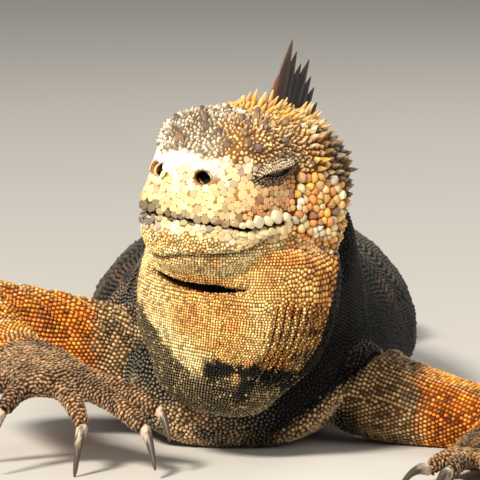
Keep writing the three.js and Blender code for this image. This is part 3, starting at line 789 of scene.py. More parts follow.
def colour_of_neck(back):
    """Grey in front, lighter grey as painted light where light falls on the right side and on the chest below
    the shoulder crease, painted shade in black on the left flank, and like the back behind
    """
    # painted light: lighter grey on the right side of the neck, where light falls
    lit_side = 0.1 + 0.9 * smooth(2, -12, seat[:, 0]) * smooth(62, 46, seat[:, 2])
    tint = mix(mix(DARK, LIT_GREY, smooth(-0.6, 0.4, patch) * lit_side), back, smooth(-30, -2, seat[:, 1]))
    # painted shade: black on the left flank, but not on the lit chest below the crease
    tint = mix(tint, BLACK, 0.95 * in_shade() * (1 - lit_below_crease))
    # painted light: lit grey on the chest below the crease
    return mix(tint, mix(LIT_GREY, SLATE, smooth(0.1, 0.9, patch)), lit_below_crease)


def colour_of_throat():
    """Golden with paler and darker patches, black below and dark at the rear, painted shade in black past the
    golden edge and in the folds of the sides, and a paler chin
    """
    x, y, z = at.T
    tint = mix(GOLD, AMBER, 0.4 * smooth(0.2, 0.7, patch + 0.3 * fleck))
    tint = mix(tint, WHEAT, 0.6 * smooth(0.1, 0.6, -patch))
    tint = mix(tint, PALE, 0.6 * smooth(3, -12, y) * smooth(-44, -38, z))
    tint = mix(tint, AMBER, 0.5 * smooth(8, -14, x) * smooth(-44, -20, z))
    tint = mix(tint, AMBER, 0.4 * spots(AMBER_PATCHES))
    tint = mix(tint, PALE, 0.9 * spots(PALE_PATCHES))
    tint = mix(tint, RUST, 0.45 * smooth(0.1, 0.6, fleck) * smooth(16, 2, x))
    tint = mix(tint, FLAME, 0.6 * fold_zone * smooth(-0.3, 0.3, patch + fleck))
    tint = mix(tint, FLAME, 0.75 * oval((3, -7), (12, 3.2)))
    tint = mix(tint, LIT_GREY, 0.7 * oval((-3, -2), (5, 3)))
    pouch = mix(mix(BLACK, DARK, 0.4), OLIVE, 0.5 * smooth(-0.4, 0.6, patch))
    tint = mix(tint, pouch, (kind == "pouch") * 1.0)
    tint = mix(tint, DARK, smooth(-22, -28, x))
    # Black patches, and painted shade in black past the golden edge
    tint = mix(tint, BLACK, np.maximum(spots(BLACK_PATCHES), shade_past_gold))
    # painted shade in the folds of the throat
    tint = mix(tint, BLACK, 0.85 * throat_fold)
    chin = mix(mix(GOLD, WHEAT, 0.5), PALE, smooth(-0.2, 0.5, fleck + 0.6 * smooth(-2, 12, y)))
    chin = mix(chin, AMBER, smooth(4, 14, y) * smooth(0, -0.4, fleck) * 0.5)
    return mix(tint, chin, (kind == "chin") * 1.0)


def colour_of_lip():
    """Pale, and cream towards the right"""
    return mix(mix(LIP, PALE, 0.5), CREAM, smooth(-0.2, 0.5, fleck - 0.04 * (at[:, 1] - 4)))


def colour_of_snout():
    """White on top and warmer on the plates in front of the eyes"""
    tint = mix(CREAM, WHITE, smooth(-0.3, 0.3, patch))
    return mix(tint, mix(PALE, TAN, 0.3), smooth(15, 17, abs(at[:, 1])))


def colour_of_muzzle():
    """Wheat and cream with tan and amber spots, more of them towards the rear"""
    x, _, z = at.T
    tint = mix(mix(LIP, CREAM, 0.6 * smooth(4, 14, z)), mix(WHEAT, LIP, 0.5), smooth(-0.4, 0.3, -fleck))
    tint = mix(tint, TAN, 0.55 * smooth(28, 21, x) * smooth(-0.5, 0.3, patch))
    tint = mix(tint, TAN, 0.4 * oval((20, 12), (6, 7)))
    spotted = smooth(-0.1, 0.4, cloud(points, 2.6, 13) - 0.02 * (x - 20)) * (0.2 + 0.6 * smooth(32, 22, x))
    return mix(tint, mix(TAN, mix(AMBER, RUST, 0.3), 0.7), spotted)


def colour_of_cheek():
    """Wheat and tan with rusty patches"""
    tint = mix(WHEAT, TAN, smooth(-0.4, 0.2, fleck))
    return mix(tint, mix(AMBER, RUST, 0.4), 0.8 * smooth(-0.4, 0.3, patch))


def colour_of_crown():
    """Cream on the right, golden on the left and towards the rear"""
    x, y, _ = at.T
    tint = mix(mix(CREAM, TAN, 0.35 * smooth(-0.2, 0.5, fleck)), MAUVE, 0.3 * smooth(0.1, 0.6, patch))
    golden = smooth(1, 11, y + 4 * patch - 0.2 * (x - 20))
    tint = mix(tint, mix(GOLD, TAN, smooth(-0.5, 0.3, fleck)), 0.85 * golden)
    return mix(tint, mix(GOLD, RUST, 0.25), smooth(4, -8, x) * 0.7)


def colour_of_thorns():
    """Rusty gold with cream flecks"""
    return mix(mix(GOLD, RUST, 0.4), CREAM, smooth(0.0, 0.5, fleck) * 0.7)


def lids_over(tint):
    """Pale round the eye, paler and creamier above it as painted light, a dark groove, tan lids and a darker
    lower lid
    """
    lower = smooth(1, -1, over)
    round_eye = mix(mix(PALE, CREAM, 0.4), FINGER, 0.6 * lower)
    # painted light: the skin round the eye is made pale and cream above it as if lit
    tint = mix(tint, round_eye, smooth(1.5, 1.25, lid_ring) * 0.85)
    tint = mix(tint, mix(SLATE, BLACK, 0.3), swell(lid_ring - 1.08, 0.03 + 0.06 * lower))
    lids = mix(mix(TAN, PALE, 0.3), mix(FINGER, SLATE, 0.6), smooth(0.6, -0.6, over))
    tint = mix(tint, lids, smooth(1.02, 0.95, lid_ring))
    return mix(tint, mix(TAN, CREAM, 0.5), smooth(0.95, 0.8, lid_ring) * smooth(-0.5, 0.5, over))


def openings_over(tint):
    """Grey stains round the mouth, brown round the nostrils, and painted shade inside the folds, the mouth
    line, the nostril holes and the slits
    """
    x, y, z = at.T
    stain = swell(to_mouth, 1.6 + 1.4 * (z > mouth_height(x))) * smooth(11, 16, x) * (0.8 + 0.5 * fleck)
    nose_stain = smooth(-1, -7, y) * smooth(6, 3, to_mouth) * smooth(18, 24, x)
    tint = mix(tint, SLATE, np.clip(np.maximum(stain, nose_stain), 0, 0.85))
    # painted shade in the mouth line and in the folds under the lip and under the chin
    tint = mix(tint, BLACK, swell(to_mouth, mouth_wide, 4))
    tint = mix(tint, RUST * 0.5, 0.75 * swell(to_lip_fold, 0.9))
    tint = mix(tint, BLACK, swell(to_chin_fold, chin_wide, 4))
    tint = mix(tint, mix(FINGER, RUST, 0.4), swell(to_nostril, 2.9, 6))
    # painted shade in the nostril holes and in the slits between the lids
    tint = mix(tint, BLACK, swell(to_hole, 2.0, 6))
    return mix(tint, BLACK, np.clip(in_slit * 1.5, 0, 1))


TINT_ROUNDS = 3  # rounds in which neighbouring tints blend


def marking():
    """The tint of every point of the skin"""
    back = colour_of_back()
    belly = mix(SLATE, BELLY, smooth(0.0, 0.8, patch))
    tint = mix(back, belly, smooth(0.1, 0.7, -facing[:, 2]) * 0.8)
    tint = mix(tint, colour_of_arms(), IN_ARM)
    tint = mix(tint, colour_of_hands(), IN_HAND)
    tint = mix(tint, mix(SLATE, RUST, 0.5 + 0.3 * patch), IN_LEG)
    tint = mix(tint, mix(SLATE, FINGER, 0.4 + 0.3 * patch), IN_FOOT)
    tint = mix(tint, colour_of_neck(back), (kind == "neck") * 1.0)
    tint = mix(tint, colour_of_throat(), np.maximum(IN_THROAT, IN_JAW))
    of_face = {
        "lip": colour_of_lip(),
        "snout": colour_of_snout(),
        "muzzle": colour_of_muzzle(),
        "cheek": colour_of_cheek(),
        "crown": colour_of_crown(),
        "thorny": colour_of_thorns(),
        "jowl": mix(AMBER, RUST, 0.15),
    }
    for name, colour in of_face.items():
        tint = mix(tint, colour, (kind == name) * 1.0)
    tint = even_out(tint, edges, len(points), TINT_ROUNDS)
    behind = smooth(-20, -30, at[:, 0] + 5 * fleck) * (IN_HEAD + IN_NECK)
    tint = mix(tint, DARK, 0.9 * behind)
    tint = lids_over(tint)
    # painted shadow above the shoulder crease
    tint = mix(tint, BLACK, 0.93 * shadow_above_crease)
    tint = openings_over(tint)
    return np.clip(tint, 0.001, 1)


tint = marking()
# The painted highlight on the tips fades in the black patches, in the painted shade past the gold, in the
# folds, above the crease and on the left flank
black_or_shaded = np.maximum(np.maximum(spots(BLACK_PATCHES), shade_past_gold), np.maximum(throat_fold, shadow_above_crease))
shaded_flank = 0.97 * in_shade() * np.isin(kind, ("neck", "back")) * (1 - lit_below_crease)
pale = pale * (1 - 0.9 * black_or_shaded) * (1 - shaded_flank)


DEEPER = 1.35  # power that makes the painted shade in the gaps between scales darker and fuller
WARM_GAP = np.array((1.0, 0.68, 0.4))  # the painted shade in the gaps is drawn towards brown where the colour itself is warm


def gap_colour(colours, between):
    """The colours between scales, darkened as painted shade for how dark the gaps are"""
    warmth = smooth(1.3, 2.2, colours[..., 0] / colours[..., 2])
    return colours ** DEEPER * between[..., None] * mix(np.ones(3), WARM_GAP, warmth)


def paint(data, colours):
    """Gives a mesh the colour of each of its corners"""
    layer = data.color_attributes.new("tint", "FLOAT_COLOR", "POINT")
    values = np.ones((len(colours), 4), np.float32)
    values[:, :3] = colours
    layer.data.foreach_set("color", values.ravel())


# The skin shows only between the scales, so it takes the painted shade of the gaps
paint(skin.data, gap_colour(tint, 0.2 + 0.8 * between))
skin.data.shade_smooth()


def finish_of(name, roughness, grain, bump, shine):
    """A material that takes its colour from the tint, with fine uneven relief"""
    made = bpy.data.materials.new(name)
    made.use_nodes = True
    nodes, links = made.node_tree.nodes, made.node_tree.links
    shader = nodes["Principled BSDF"]
    shader.inputs["Roughness"].default_value = roughness
    shader.inputs["Specular IOR Level"].default_value = shine
    colour = nodes.new("ShaderNodeAttribute")
    colour.attribute_name = "tint"
    links.new(colour.outputs["Color"], shader.inputs["Base Color"])
    where = nodes.new("ShaderNodeTexCoord")
    relief = nodes.new("ShaderNodeTexNoise")
    relief.inputs["Scale"].default_value = 1 / (grain * MM)
    relief.inputs["Detail"].default_value = 4
    links.new(where.outputs["Object"], relief.inputs["Vector"])
    bend = nodes.new("ShaderNodeBump")
    bend.inputs["Strength"].default_value = bump
    bend.inputs["Distance"].default_value = grain * MM * 0.3
    links.new(relief.outputs["Fac"], bend.inputs["Height"])
    links.new(bend.outputs["Normal"], shader.inputs["Normal"])
    return made


# Roughness, grain in millimetres, relief and shine
HIDE = finish_of("hide", 0.62, 0.8, 0.5, 0.15)
SCALE = finish_of("scale", 0.5, 0.5, 0.35, 0.2)
HORN = finish_of("horn", 0.38, 0.7, 0.3, 0.4)
WET = finish_of("wet", 0.08, 2.0, 0.0, 0.4)
skin.data.materials.clear()
skin.data.materials.append(HIDE)


# Unwrap of the skin's own shape

UNWRAP_ANGLE = math.radians(70)
UNWRAP_MARGIN = 0.001


def unwrap(thing):
    """Lays the faces of an object out flat without overlap"""
    layer = thing.data.uv_layers.new(name="OFBake")
    thing.data.uv_layers.active = layer
    bpy.context.view_layer.objects.active = thing
    for other in bpy.context.selected_objects:
        other.select_set(False)
    thing.select_set(True)
    bpy.ops.object.mode_set(mode="EDIT")
    bpy.ops.mesh.select_all(action="SELECT")
    bpy.ops.uv.smart_project(angle_limit=UNWRAP_ANGLE, island_margin=UNWRAP_MARGIN)
    bpy.ops.object.mode_set(mode="OBJECT")


unwrap(skin)


def corner_patches(data):
    """One place on the unwrap for each corner of the mesh"""
    loops = np.empty(len(data.loops), np.int32)
    data.loops.foreach_get("vertex_index", loops)
    uv = np.empty(len(data.loops) * 2, np.float32)
    data.uv_layers["OFBake"].data.foreach_get("uv", uv)
    place = np.zeros((len(data.vertices), 2))
    place[loops] = uv.reshape(-1, 2)
    return place


patches = corner_patches(skin.data)


# Small forms that are repeated over the skin

def form_of(build):
    """A small closed form made with a builder, as its corners, faces and a shade for each corner"""
    form = bmesh.new()
    build(form)
    bmesh.ops.recalc_face_normals(form, faces=form.faces)
    form.verts.ensure_lookup_table()
    corners = np.array([v.co for v in form.verts])
    faces = [[v.index for v in f.verts] for f in form.faces]
    form.free()
    low, high = corners[:, 2].min(), corners[:, 2].max()
    return corners, faces, (corners[:, 2] - low) / (high - low)


def dome(sides, shoulder, height=0.62, lean=0.0):
    """A low dome whose tip leans back along the lie"""
    def build(form):
        bmesh.ops.create_cone(form, cap_ends=True, segments=sides, radius1=0.5, radius2=shoulder, depth=1)
        top = max(form.faces, key=lambda f: f.calc_center_median().z)
        for corner in form.verts:
            corner.co.z = height if corner.co.z > 0 else -0.5
        poked = bmesh.ops.poke(form, faces=[top], offset=0)
        for corner in poked["verts"]:
            corner.co.z = 1
            corner.co.x -= lean
    return form_of(build)


def cushion(sides, rings, lean=0.0):
    """A closed form of rings, each a radius and a height, under a tip that leans back along the lie"""
    def build(form):
        (foot, low), (wide, high) = rings[:2]
        bmesh.ops.create_cone(form, cap_ends=True, segments=sides, radius1=foot, radius2=wide, depth=1)
        top = max(form.faces, key=lambda f: f.calc_center_median().z)
        for corner in form.verts:
            corner.co.z = high if corner.co.z > 0 else low
        for radius, height in rings[2:]:
            bmesh.ops.inset_individual(form, faces=[top], thickness=0.01)
            for corner in top.verts:
                share = radius / math.hypot(corner.co.x, corner.co.y)
                corner.co = (corner.co.x * share, corner.co.y * share, height)
        poked = bmesh.ops.poke(form, faces=[top], offset=0)
        for corner in poked["verts"]:
            corner.co = (-lean, 0, 1)
    return form_of(build)


# Domes have sides, a shoulder and its height, and a lean; cushions have sides, rings and a lean
BEAD = dome(6, 0.36)
KEELED = dome(5, 0.3, 0.55, 0.16)
GRANULE = dome(6, 0.28, 0.4, 0.14)
LUMP = cushion(8, [(0.5, -0.4), (0.46, 0.3), (0.3, 0.85)])
TILE = cushion(8, [(0.5, -0.8), (0.48, 0.45), (0.4, 0.92)])
CHUNK = cushion(6, [(0.5, -0.3), (0.42, 0.12), (0.26, 0.6)], 0.22)


def horn():
    """A blunt cone that swells a little above its foot"""
    def build(form):
        bmesh.ops.create_cone(form, cap_ends=True, segments=8, radius1=0.5, radius2=0.44, depth=1)
        for corner in form.verts:
            corner.co.z = 0.18 if corner.co.z > 0 else -0.4
        top = max(form.faces, key=lambda f: f.calc_center_median().z)
        for inset, lift in ((0.1, 0.3), (0.14, 0.34), (0.1, 0.14)):
            bmesh.ops.inset_individual(form, faces=[top], thickness=inset, depth=lift)
    return form_of(build)


BLUNT_HORN = horn()


def blade():
    """A flat spine, wide along the lie, that curves back to its point"""
    def build(form):
        bmesh.ops.create_cone(form, cap_ends=True, segments=8, radius1=0.5, radius2=0.5, depth=1)
        upright = [e for e in form.edges if abs(e.verts[0].co.z - e.verts[1].co.z) > 0.5]
        bmesh.ops.subdivide_edges(form, edges=upright, cuts=6)
        for corner in form.verts:
            share = corner.co.z + 0.5
            width = (1 - share ** 2.2) * 0.94 + 0.06
            corner.co.x = corner.co.x * width - 0.35 * share ** 2
            corner.co.y *= width
            corner.co.z = share * 1.12 - 0.12
    return form_of(build)


BLADE = blade()


def thorn():
    """A sharp thorn that bends back along the lie"""
    def build(form):
        bmesh.ops.create_cone(form, cap_ends=True, segments=6, radius1=0.5, radius2=0.08, depth=1)
        upright = [e for e in form.edges if abs(e.verts[0].co.z - e.verts[1].co.z) > 0.5]
        bmesh.ops.subdivide_edges(form, edges=upright, cuts=2)
        for corner in form.verts:
            share = corner.co.z + 0.5
            corner.co.x = corner.co.x * (1 + 0.25 * math.sin(math.pi * share)) - 0.5 * share ** 2
            corner.co.z = share * 1.1 - 0.1
    return form_of(build)


THORN = thorn()

MOST_COPIES = 8000  # in one mesh
PATCH = 0.003  # how wide each copy lies on the unwrap


def ways_of(form):
    """The angles of a form's foot corners, and which of them each corner lies over"""
    corners = form[0]
    angle = np.arctan2(corners[:, 1], corners[:, 0])
    foot = np.flatnonzero(corners[:, 2] < corners[:, 2].min() + 0.01)
    angles = np.sort(angle[foot])
    turn = np.abs((angle[:, None] - angles[None] + np.pi) % (2 * np.pi) - np.pi)
    return angles, turn.argmin(axis=1)


def lay(name, form, roots, up, lie, size, colours, places, finish, between=0.3, pale=0.1, tip=CREAM,
        rounded=True, outline=None):
    """Copies of one form on the skin, as joined meshes.

    size is the width, length and height of each. An outline gives how far each reaches in the directions
    of its foot corners, in place of the width and length.
    """
    corners, faces, shade = form
    over_foot = ways_of(form)[1]
    counts = np.array([len(f) for f in faces])
    flat = np.concatenate(faces)
    lie = unit(lie - up * np.sum(lie * up, axis=1, keepdims=True))
    across = np.cross(up, lie)
    between = np.broadcast_to(np.asarray(between, float), (len(roots),))
    pale = np.broadcast_to(np.asarray(pale, float), (len(roots),))
    for number, start in enumerate(range(0, len(roots), MOST_COPIES), 1):
        part = slice(start, start + MOST_COPIES)
        n = len(roots[part])
        if outline is None:
            wide, long = size[part][:, None, :1], size[part][:, None, 1:2]
        else:
            wide = long = 2 * outline[part][:, over_foot, None]
        where = (
            roots[part][:, None]
            + across[part][:, None] * (wide * corners[None, :, 1:2])
            + lie[part][:, None] * (long * -corners[None, :, :1])
            + up[part][:, None] * (size[part][:, None, 2:] * corners[None, :, 2:])
        )
        where[:, :, 2] = np.maximum(where[:, :, 2], FLOOR_GAP)
        data = bpy.data.meshes.new(f"{name}_{number}")
        data.vertices.add(n * len(corners))
        data.vertices.foreach_set("co", (where * MM).astype(np.float32).ravel())
        loops = (flat[None] + np.arange(n)[:, None] * len(corners)).astype(np.int32)
        data.loops.add(loops.size)
        data.loops.foreach_set("vertex_index", loops.ravel())
        starts = np.concatenate(([0], np.cumsum(np.tile(counts, n))[:-1])).astype(np.int32)
        data.polygons.add(len(starts))
        data.polygons.foreach_set("loop_start", starts)
        data.polygons.foreach_set("use_smooth", np.full(len(starts), rounded))
        data.update(calc_edges=True)
        layer = data.uv_layers.new(name="OFBake")
        spread = places[part][:, None] + PATCH * corners[None, :, :2]
        layer.data.foreach_set("uv", spread[:, flat].astype(np.float32).ravel())
        # Painted shade darkens the foot of each copy
        deep = gap_colour(colours[part], between[part])
        tone = mix(deep[:, None], colours[part][:, None], smooth(0, 0.6, shade)[None])
        # The tip colour at the top of each copy is a painted highlight, save the dark mauve tips of the
        # horns, which are their own colour
        tone = mix(tone, tip, pale[part][:, None] * smooth(0.7, 1, shade))
        paint(data, np.clip(tone, 0, 1).reshape(-1, 3))
        data.materials.append(finish)
        thing = linked(data.name, data)
        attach(thing, "root")


# Roots of the scales

tree = tree_of(skin.data)
face_corner = np.array([p.vertices[0] for p in skin.data.polygons])


def nearest(tree, p):
    """The point of the skin nearest to a place, its facing and its corner"""
    hit, _, face, _ = tree.find_nearest(Vector(p) * MM)
    c = face_corner[face]
    return np.array(hit) / MM, facing[c], c


class Roots:
    """Places taken by scales, found again by the cell of a grid that they lie in"""

    def __init__(self, cell):
        self.cell = cell
        self.taken = {}
        self.where = []
        self.corner = []
        self.lie = []
        self.gap = []

    def free(self, p, reach):
        """Whether no place that is taken lies within reach of this one"""
        key = tuple(int(c // self.cell) for c in p)
        limit = reach * reach
        for i in (-1, 0, 1):
            for j in (-1, 0, 1):
                for k in (-1, 0, 1):
                    for q in self.taken.get((key[0] + i, key[1] + j, key[2] + k), ()):
                        if (q[0] - p[0]) ** 2 + (q[1] - p[1]) ** 2 + (q[2] - p[2]) ** 2 < limit:
                            return False
        return True

    def add(self, p, corner, lie, gap):
        """Takes a place for a scale, with the skin's corner under it, its lie and its spacing"""
        key = tuple(int(c // self.cell) for c in p)
        self.taken.setdefault(key, []).append(tuple(p))
        self.where.append(p)
        self.corner.append(corner)
        self.lie.append(lie)
        self.gap.append(gap)


GRID_CELL = 5.2  # wider than the widest spacing
roots = Roots(GRID_CELL)

ROOM = 0.8  # least distance of two scales, in spacings
RAY_GAP = 2.2
LEAST_RAYS = 16
LONGEST_JUMP = 6  # in spacings; past it two hits of a ring lie on different parts of the skin
ROW_FIT = 0.9  # how near the rows stand for the spacing of their scales


def ring_rows(axis, radius, keep, reach=1.6, stagger=0.5):
    """Scales in rings round an axis, each row set off from the last by a stagger, with rays from the axis"""
    axis = np.asarray(axis, float) + PLACE
    radius = np.asarray(radius, float)
    along = lengths_along(axis)
    place = 0.0
    row = 0
    while place < along[-1]:
        centre = point_at(place, along, axis)
        way = unit(point_at(place + 4, along, axis) - point_at(place - 4, along, axis))
        size = np.interp(place, along, radius)
        u = unit(np.cross(way, (0, 0, 1.0) if abs(way[2]) < 0.9 else (1.0, 0, 0)))
        v = np.cross(way, u)
        count = max(LEAST_RAYS, int(2 * math.pi * size / RAY_GAP))
        hits = []
        for angle in np.linspace(0, 2 * math.pi, count + 1):
            hit, _, face = cast(tree, centre, u * math.cos(angle) + v * math.sin(angle), size * reach)
            hits.append((hit, face))
        carry = stagger * (row % 2)
        gaps = []
        for (a, face), (b, _) in zip(hits[:-1], hits[1:]):
            if a is None or b is None:
                continue
            span = np.linalg.norm(b - a)
            corner = face_corner[face]
            gap = spacing[corner]
            if span > LONGEST_JUMP * gap or not keep[corner]:
                continue
            gaps.append(gap)
            need = (1 - carry) * gap
            if span < need:
                carry += span / gap
                continue
            t = need
            while t <= span:
                p, _, c = nearest(tree, a + (b - a) * (t / span))
                if keep[c] and roots.free(p, gap * ROOM):
                    roots.add(p, c, way, gap)
                t += gap
            carry = (span - (t - gap)) / gap
        place += (np.percentile(gaps, 35) if gaps else 2.0) * ROW_FIT
        row += 1


def scatter(rounds=6):
    """Scales wherever the skin has room for one"""
    data = skin.data
    data.calc_loop_triangles()
    corners = np.empty(len(data.loop_triangles) * 3, np.int32)
    data.loop_triangles.foreach_get("vertices", corners)
    corners = corners.reshape(-1, 3)
    a, b, c = (points[corners[:, k]] for k in range(3))
    area = np.linalg.norm(np.cross(b - a, c - a), axis=1) / 2
    weight = area / spacing[corners[:, 0]] ** 2 * (bare[corners[:, 0]] < 0.5)
    total = int(weight.sum() * rounds)
    chosen = draw.choice(len(corners), total, p=weight / weight.sum())
    s, t = draw.random((2, total))
    flip = s + t > 1
    s, t = np.where(flip, 1 - s, s), np.where(flip, 1 - t, t)
    where = a[chosen] + (b - a)[chosen] * s[:, None] + (c - a)[chosen] * t[:, None]
    for p, face in zip(where, chosen):
        corner = corners[face, 0]
        gap = spacing[corner]
        if roots.free(p, gap * ROOM):
            roots.add(p, corner, None, gap)


PRESS_REACH = 1.08  # in spacings
PRESS_SHARE = 0.28


def settle(where, corner, gaps, loose, times=4):
    """Moves the loose scales apart over the skin until they stand evenly"""
    order = np.flatnonzero(loose)
    for _ in range(times):
        finder = finder_of(where)
        near = np.array([[n for _, n, _ in finder.find_n(where[i], 7)][1:] for i in order])
        apart = where[order][:, None] - where[near]
        away = np.maximum(np.linalg.norm(apart, axis=2, keepdims=True), 1e-6)
        press = np.maximum(gaps[order][:, None, None] * PRESS_REACH - away, 0)
        moved = where[order] + (apart / away * press).sum(axis=1) * PRESS_SHARE
        for i, p in zip(order, moved):
            hit, _, face, _ = tree.find_nearest(Vector(p) * MM)
            if bare[face_corner[face]] < 0.5:
                where[i] = np.array(hit) / MM
                corner[i] = face_corner[face]
    return where, corner


# Rows of scales along body, limbs, throat and neck, and loose scales between them

LIP_BAND = 4.2  # the plates of the upper lip lie this near the mouth
above_mouth = at[:, 2] > mouth_height(at[:, 0])
# Parts of the skin without loose scales: at the lips' plates, the nostrils, the fold of the chin and the lids
bare = (to_mouth < LIP_BAND) & above_mouth & (at[:, 0] > 3) & (at[:, 0] < 25) | (to_mouth < 1.4)
bare = bare | (to_nostril < 4.4) | (to_chin_fold < chin_wide * 1.05) | (lid_ring < 0.97)

# Lines through body and limbs in the modelling frame, and the radius of the flesh at each of their points
BODY_AXIS = [(-6, -30, 30), (-6, 28, 40), (-5, 80, 40), (-5, 138, 38), (-6, 190, 34), (-8, 232, 30),
             (-8, 268, 26), (-8, 330, 24), (-14, 420, 20), (-26, 520, 16), (-38, 620, 11),
             (-34, 710, 7), (-10, 786, 3.4)]
BODY_RADIUS = [45, 58, 62, 60, 50, 38, 30, 22, 16, 12, 9, 6, 4]
ring_rows(BODY_AXIS, BODY_RADIUS, (IN_TRUNK + IN_TAIL) > 0)
ARM_AXES = [
    ([(-40, -8, 24), (-64, -12, 37), (-95, -16, 46), (-84, -40, 42), (-74, -66, 34)], [17, 17, 12, 12, 10]),
    ([(40, -10, 17), (62, -22, 12), (86, -34, 8.6), (86, -60, 8.5), (80, -84, 8.5)], [17, 17, 12, 12, 10]),
]
for axis, radius in ARM_AXES:
    ring_rows(axis, radius, IN_ARM > 0)
LEG_AXES = [
    ([(-28, 232, 21), (-43, 258, 21), (-50, 285, 18), (-53, 311, 14), (-52, 337, 9)], [19, 18, 13, 12, 10]),
    ([(12, 232, 21), (25, 259, 20), (30, 286, 17), (29, 312, 14), (26, 338, 9)], [19, 18, 13, 12, 10]),
]
for axis, radius in LEG_AXES:
    ring_rows(axis, radius, IN_LEG > 0)
THROAT_AXIS = [from_head(p) - PLACE for p in ((0, 0, -3), (-4, 0, -20), (-7, 0, -40), (-8, 0, -60))]
THROAT_RADIUS = [32, 33, 28, 14]
THROAT_KINDS = ("throat", "pouch", "chin")
ring_rows(THROAT_AXIS, THROAT_RADIUS, np.isin(kind, THROAT_KINDS) & ~bare, reach=1.5, stagger=0.0)
NECK_AXIS = [(6, -34, 78), (-2, -10, 56), (-6, 20, 40)]
NECK_RADIUS = [38, 42, 46]
ring_rows(NECK_AXIS, NECK_RADIUS, IN_NECK > 0)
scatter()

where = np.array(roots.where)
corner = np.array(roots.corner)
gaps = np.array(roots.gap)
loose = np.array([w is None for w in roots.lie])
where, corner = settle(where, corner, gaps, loose)
woven = ~loose & np.isin(kind[corner], THROAT_KINDS)
where, corner = settle(where, corner, gaps, woven, times=3)

# How far the scales of a kind stray from their even places, as a share of their spacing
UNSETTLED = {"snout": 0.16, "muzzle": 0.2, "lip": 0.16, "cheek": 0.16, "crown": 0.16, "jowl": 0.17,
             "chin": 0.1, "throat": 0.06, "pouch": 0.08}
stray = np.array([UNSETTLED.get(k, 0) for k in kind[corner]]) * gaps
for i in np.flatnonzero(stray):
    where[i], _, corner[i] = nearest(tree, where[i] + draw.normal(size=3) * stray[i])
WRISTS = {side: np.array(axis[-1]) + PLACE for side, (axis, _) in zip((-1, 1), ARM_AXES)}


def lie_of():
    """Which way the scales point: back along the head and body, and out along the limbs"""
    lies = np.tile((0.0, 1.0, 0.0), (len(where), 1))
    given = np.flatnonzero(~loose)
    lies[given] = np.array([roots.lie[i] for i in given])
    on_head = loose & np.isin(kind[corner], ("crown", "thorny", "cheek", "chin", "throat", "eyelid"))
    lies[on_head] = -HEAD_AXES[0] + HEAD_AXES[2] * 0.2
    turned = np.isin(kind[corner], ("snout", "muzzle", "jowl", "lip"))
    lies[turned] = draw.normal(size=(turned.sum(), 3))
    for side, wrist in WRISTS.items():
        on_hand = loose & (kind[corner] == "hand") & (np.sign(where[:, 0] - PLACE[0]) == side)
        lies[on_hand] = unit(where[on_hand] - wrist)
    return lies


lies = lie_of()


# The cell of skin that each scale fills

NEIGHBOURS = 12


def neighbours(where):
    """The nearest scales to each scale"""
    finder = finder_of(where)
    return np.array([[n for _, n, _ in finder.find_n(p, NEIGHBOURS + 1)][1:] for p in where])


near = neighbours(where)

# How much the cells of a kind differ in size
UNEVEN_CELLS = {"snout": 0.5, "muzzle": 0.6, "lip": 0.5, "cheek": 0.5, "crown": 0.5, "jowl": 0.5, "chin": 0.3,
                "throat": 0.2, "pouch": 0.25, "neck": 0.3}
share_taken = np.array([UNEVEN_CELLS.get(k, 0) for k in kind[corner]])
share_taken = share_taken * draw.uniform(-1, 1, len(where)) * (gaps * 0.5) ** 2
CELL_REACH = (0.22, 0.8)  # least and most, in spacings


def outlines(chosen, form, up, lies, crack):
    """How far each chosen scale can reach towards its neighbours, in the directions of its foot corners"""
    lie = unit(lies - up * np.sum(lies * up, axis=1, keepdims=True))
    across = np.cross(up, lie)
    apart = where[near[chosen]] - where[chosen][:, None]
    apart = np.stack((np.sum(apart * across[:, None], axis=2), np.sum(apart * lie[:, None], axis=2)), axis=2)
    gained = share_taken[chosen][:, None] - share_taken[near[chosen]]
    halfway = (np.sum(apart ** 2, axis=2) + gained)[..., None] / 2
    angles = ways_of(form)[0]
    towards = apart @ np.stack((np.sin(angles), -np.cos(angles)))
    reach = np.where(towards > 1e-6, halfway / np.maximum(towards, 1e-6), 99).min(axis=1)
    widest = gaps[chosen][:, None]
    return np.clip(reach, widest * CELL_REACH[0], widest * CELL_REACH[1]) * crack


# Width, height and colour of each scale

WIDTH_FIT = 1.03
kind_at = kind[corner]
mean_gap = np.linalg.norm(where[near[:, :5]] - where[:, None], axis=2).mean(axis=1)
width = np.clip(mean_gap, gaps * 0.8, gaps * 1.25) * WIDTH_FIT
up = facing[corner]
head_place = to_head(where)
grain = np.clip(draw.normal(size=(len(where), 1)), -1.6, 1.8)

# The horns that can be seen, in the head's frame; others stand at random between them
CROWN_HORNS = [
    (26.8, 11.1, 25.8), (22.5, 13.8, 30.5), (21.5, 19.4, 26.5), (20.6, -4.2, 32.8), (28.6, -6.7, 25),
    (25, 5, 30), (24, -1, 31), (26, -11, 27), (17, 8, 34), (15, 15, 32), (13, 0, 36), (24, 17, 28),
    (16, -9, 34), (21, -14, 30), (11, 9, 35.5), (8, -5, 37), (10, 20, 30), (5, 5, 37), (3, 14, 34),
]
to_knob = np.linalg.norm(head_place[:, None] - np.array(CROWN_HORNS)[None], axis=2).min(axis=1)
on_knob = smooth(3.4, 1.6, to_knob) * (kind_at == "crown")
MOST_LIGHT = 0.97


def heights_of():
    """How high each scale stands, with short thorns low on the cheek and tall granules by the horns"""
    height = width * rise[corner] * (1 + 0.15 * draw.normal(size=len(where)))
    low_thorn = smooth(10, 18, head_place[:, 2]) * 0.6 + 0.4
    height = height * np.where(kind_at == "thorny", draw.uniform(0.4, 1.5, len(where)) * low_thorn, 1)
    return height * np.where(kind_at == "crown", draw.uniform(0.4, 1.5, len(where)) + 0.4 * on_knob, 1)


def picked(colours, spread):
    """One of some colours for each scale, lighter or darker by chance"""
    pick = colours[draw.integers(0, len(colours), len(where))]
    return np.clip(pick * spread, 0, MOST_LIGHT)


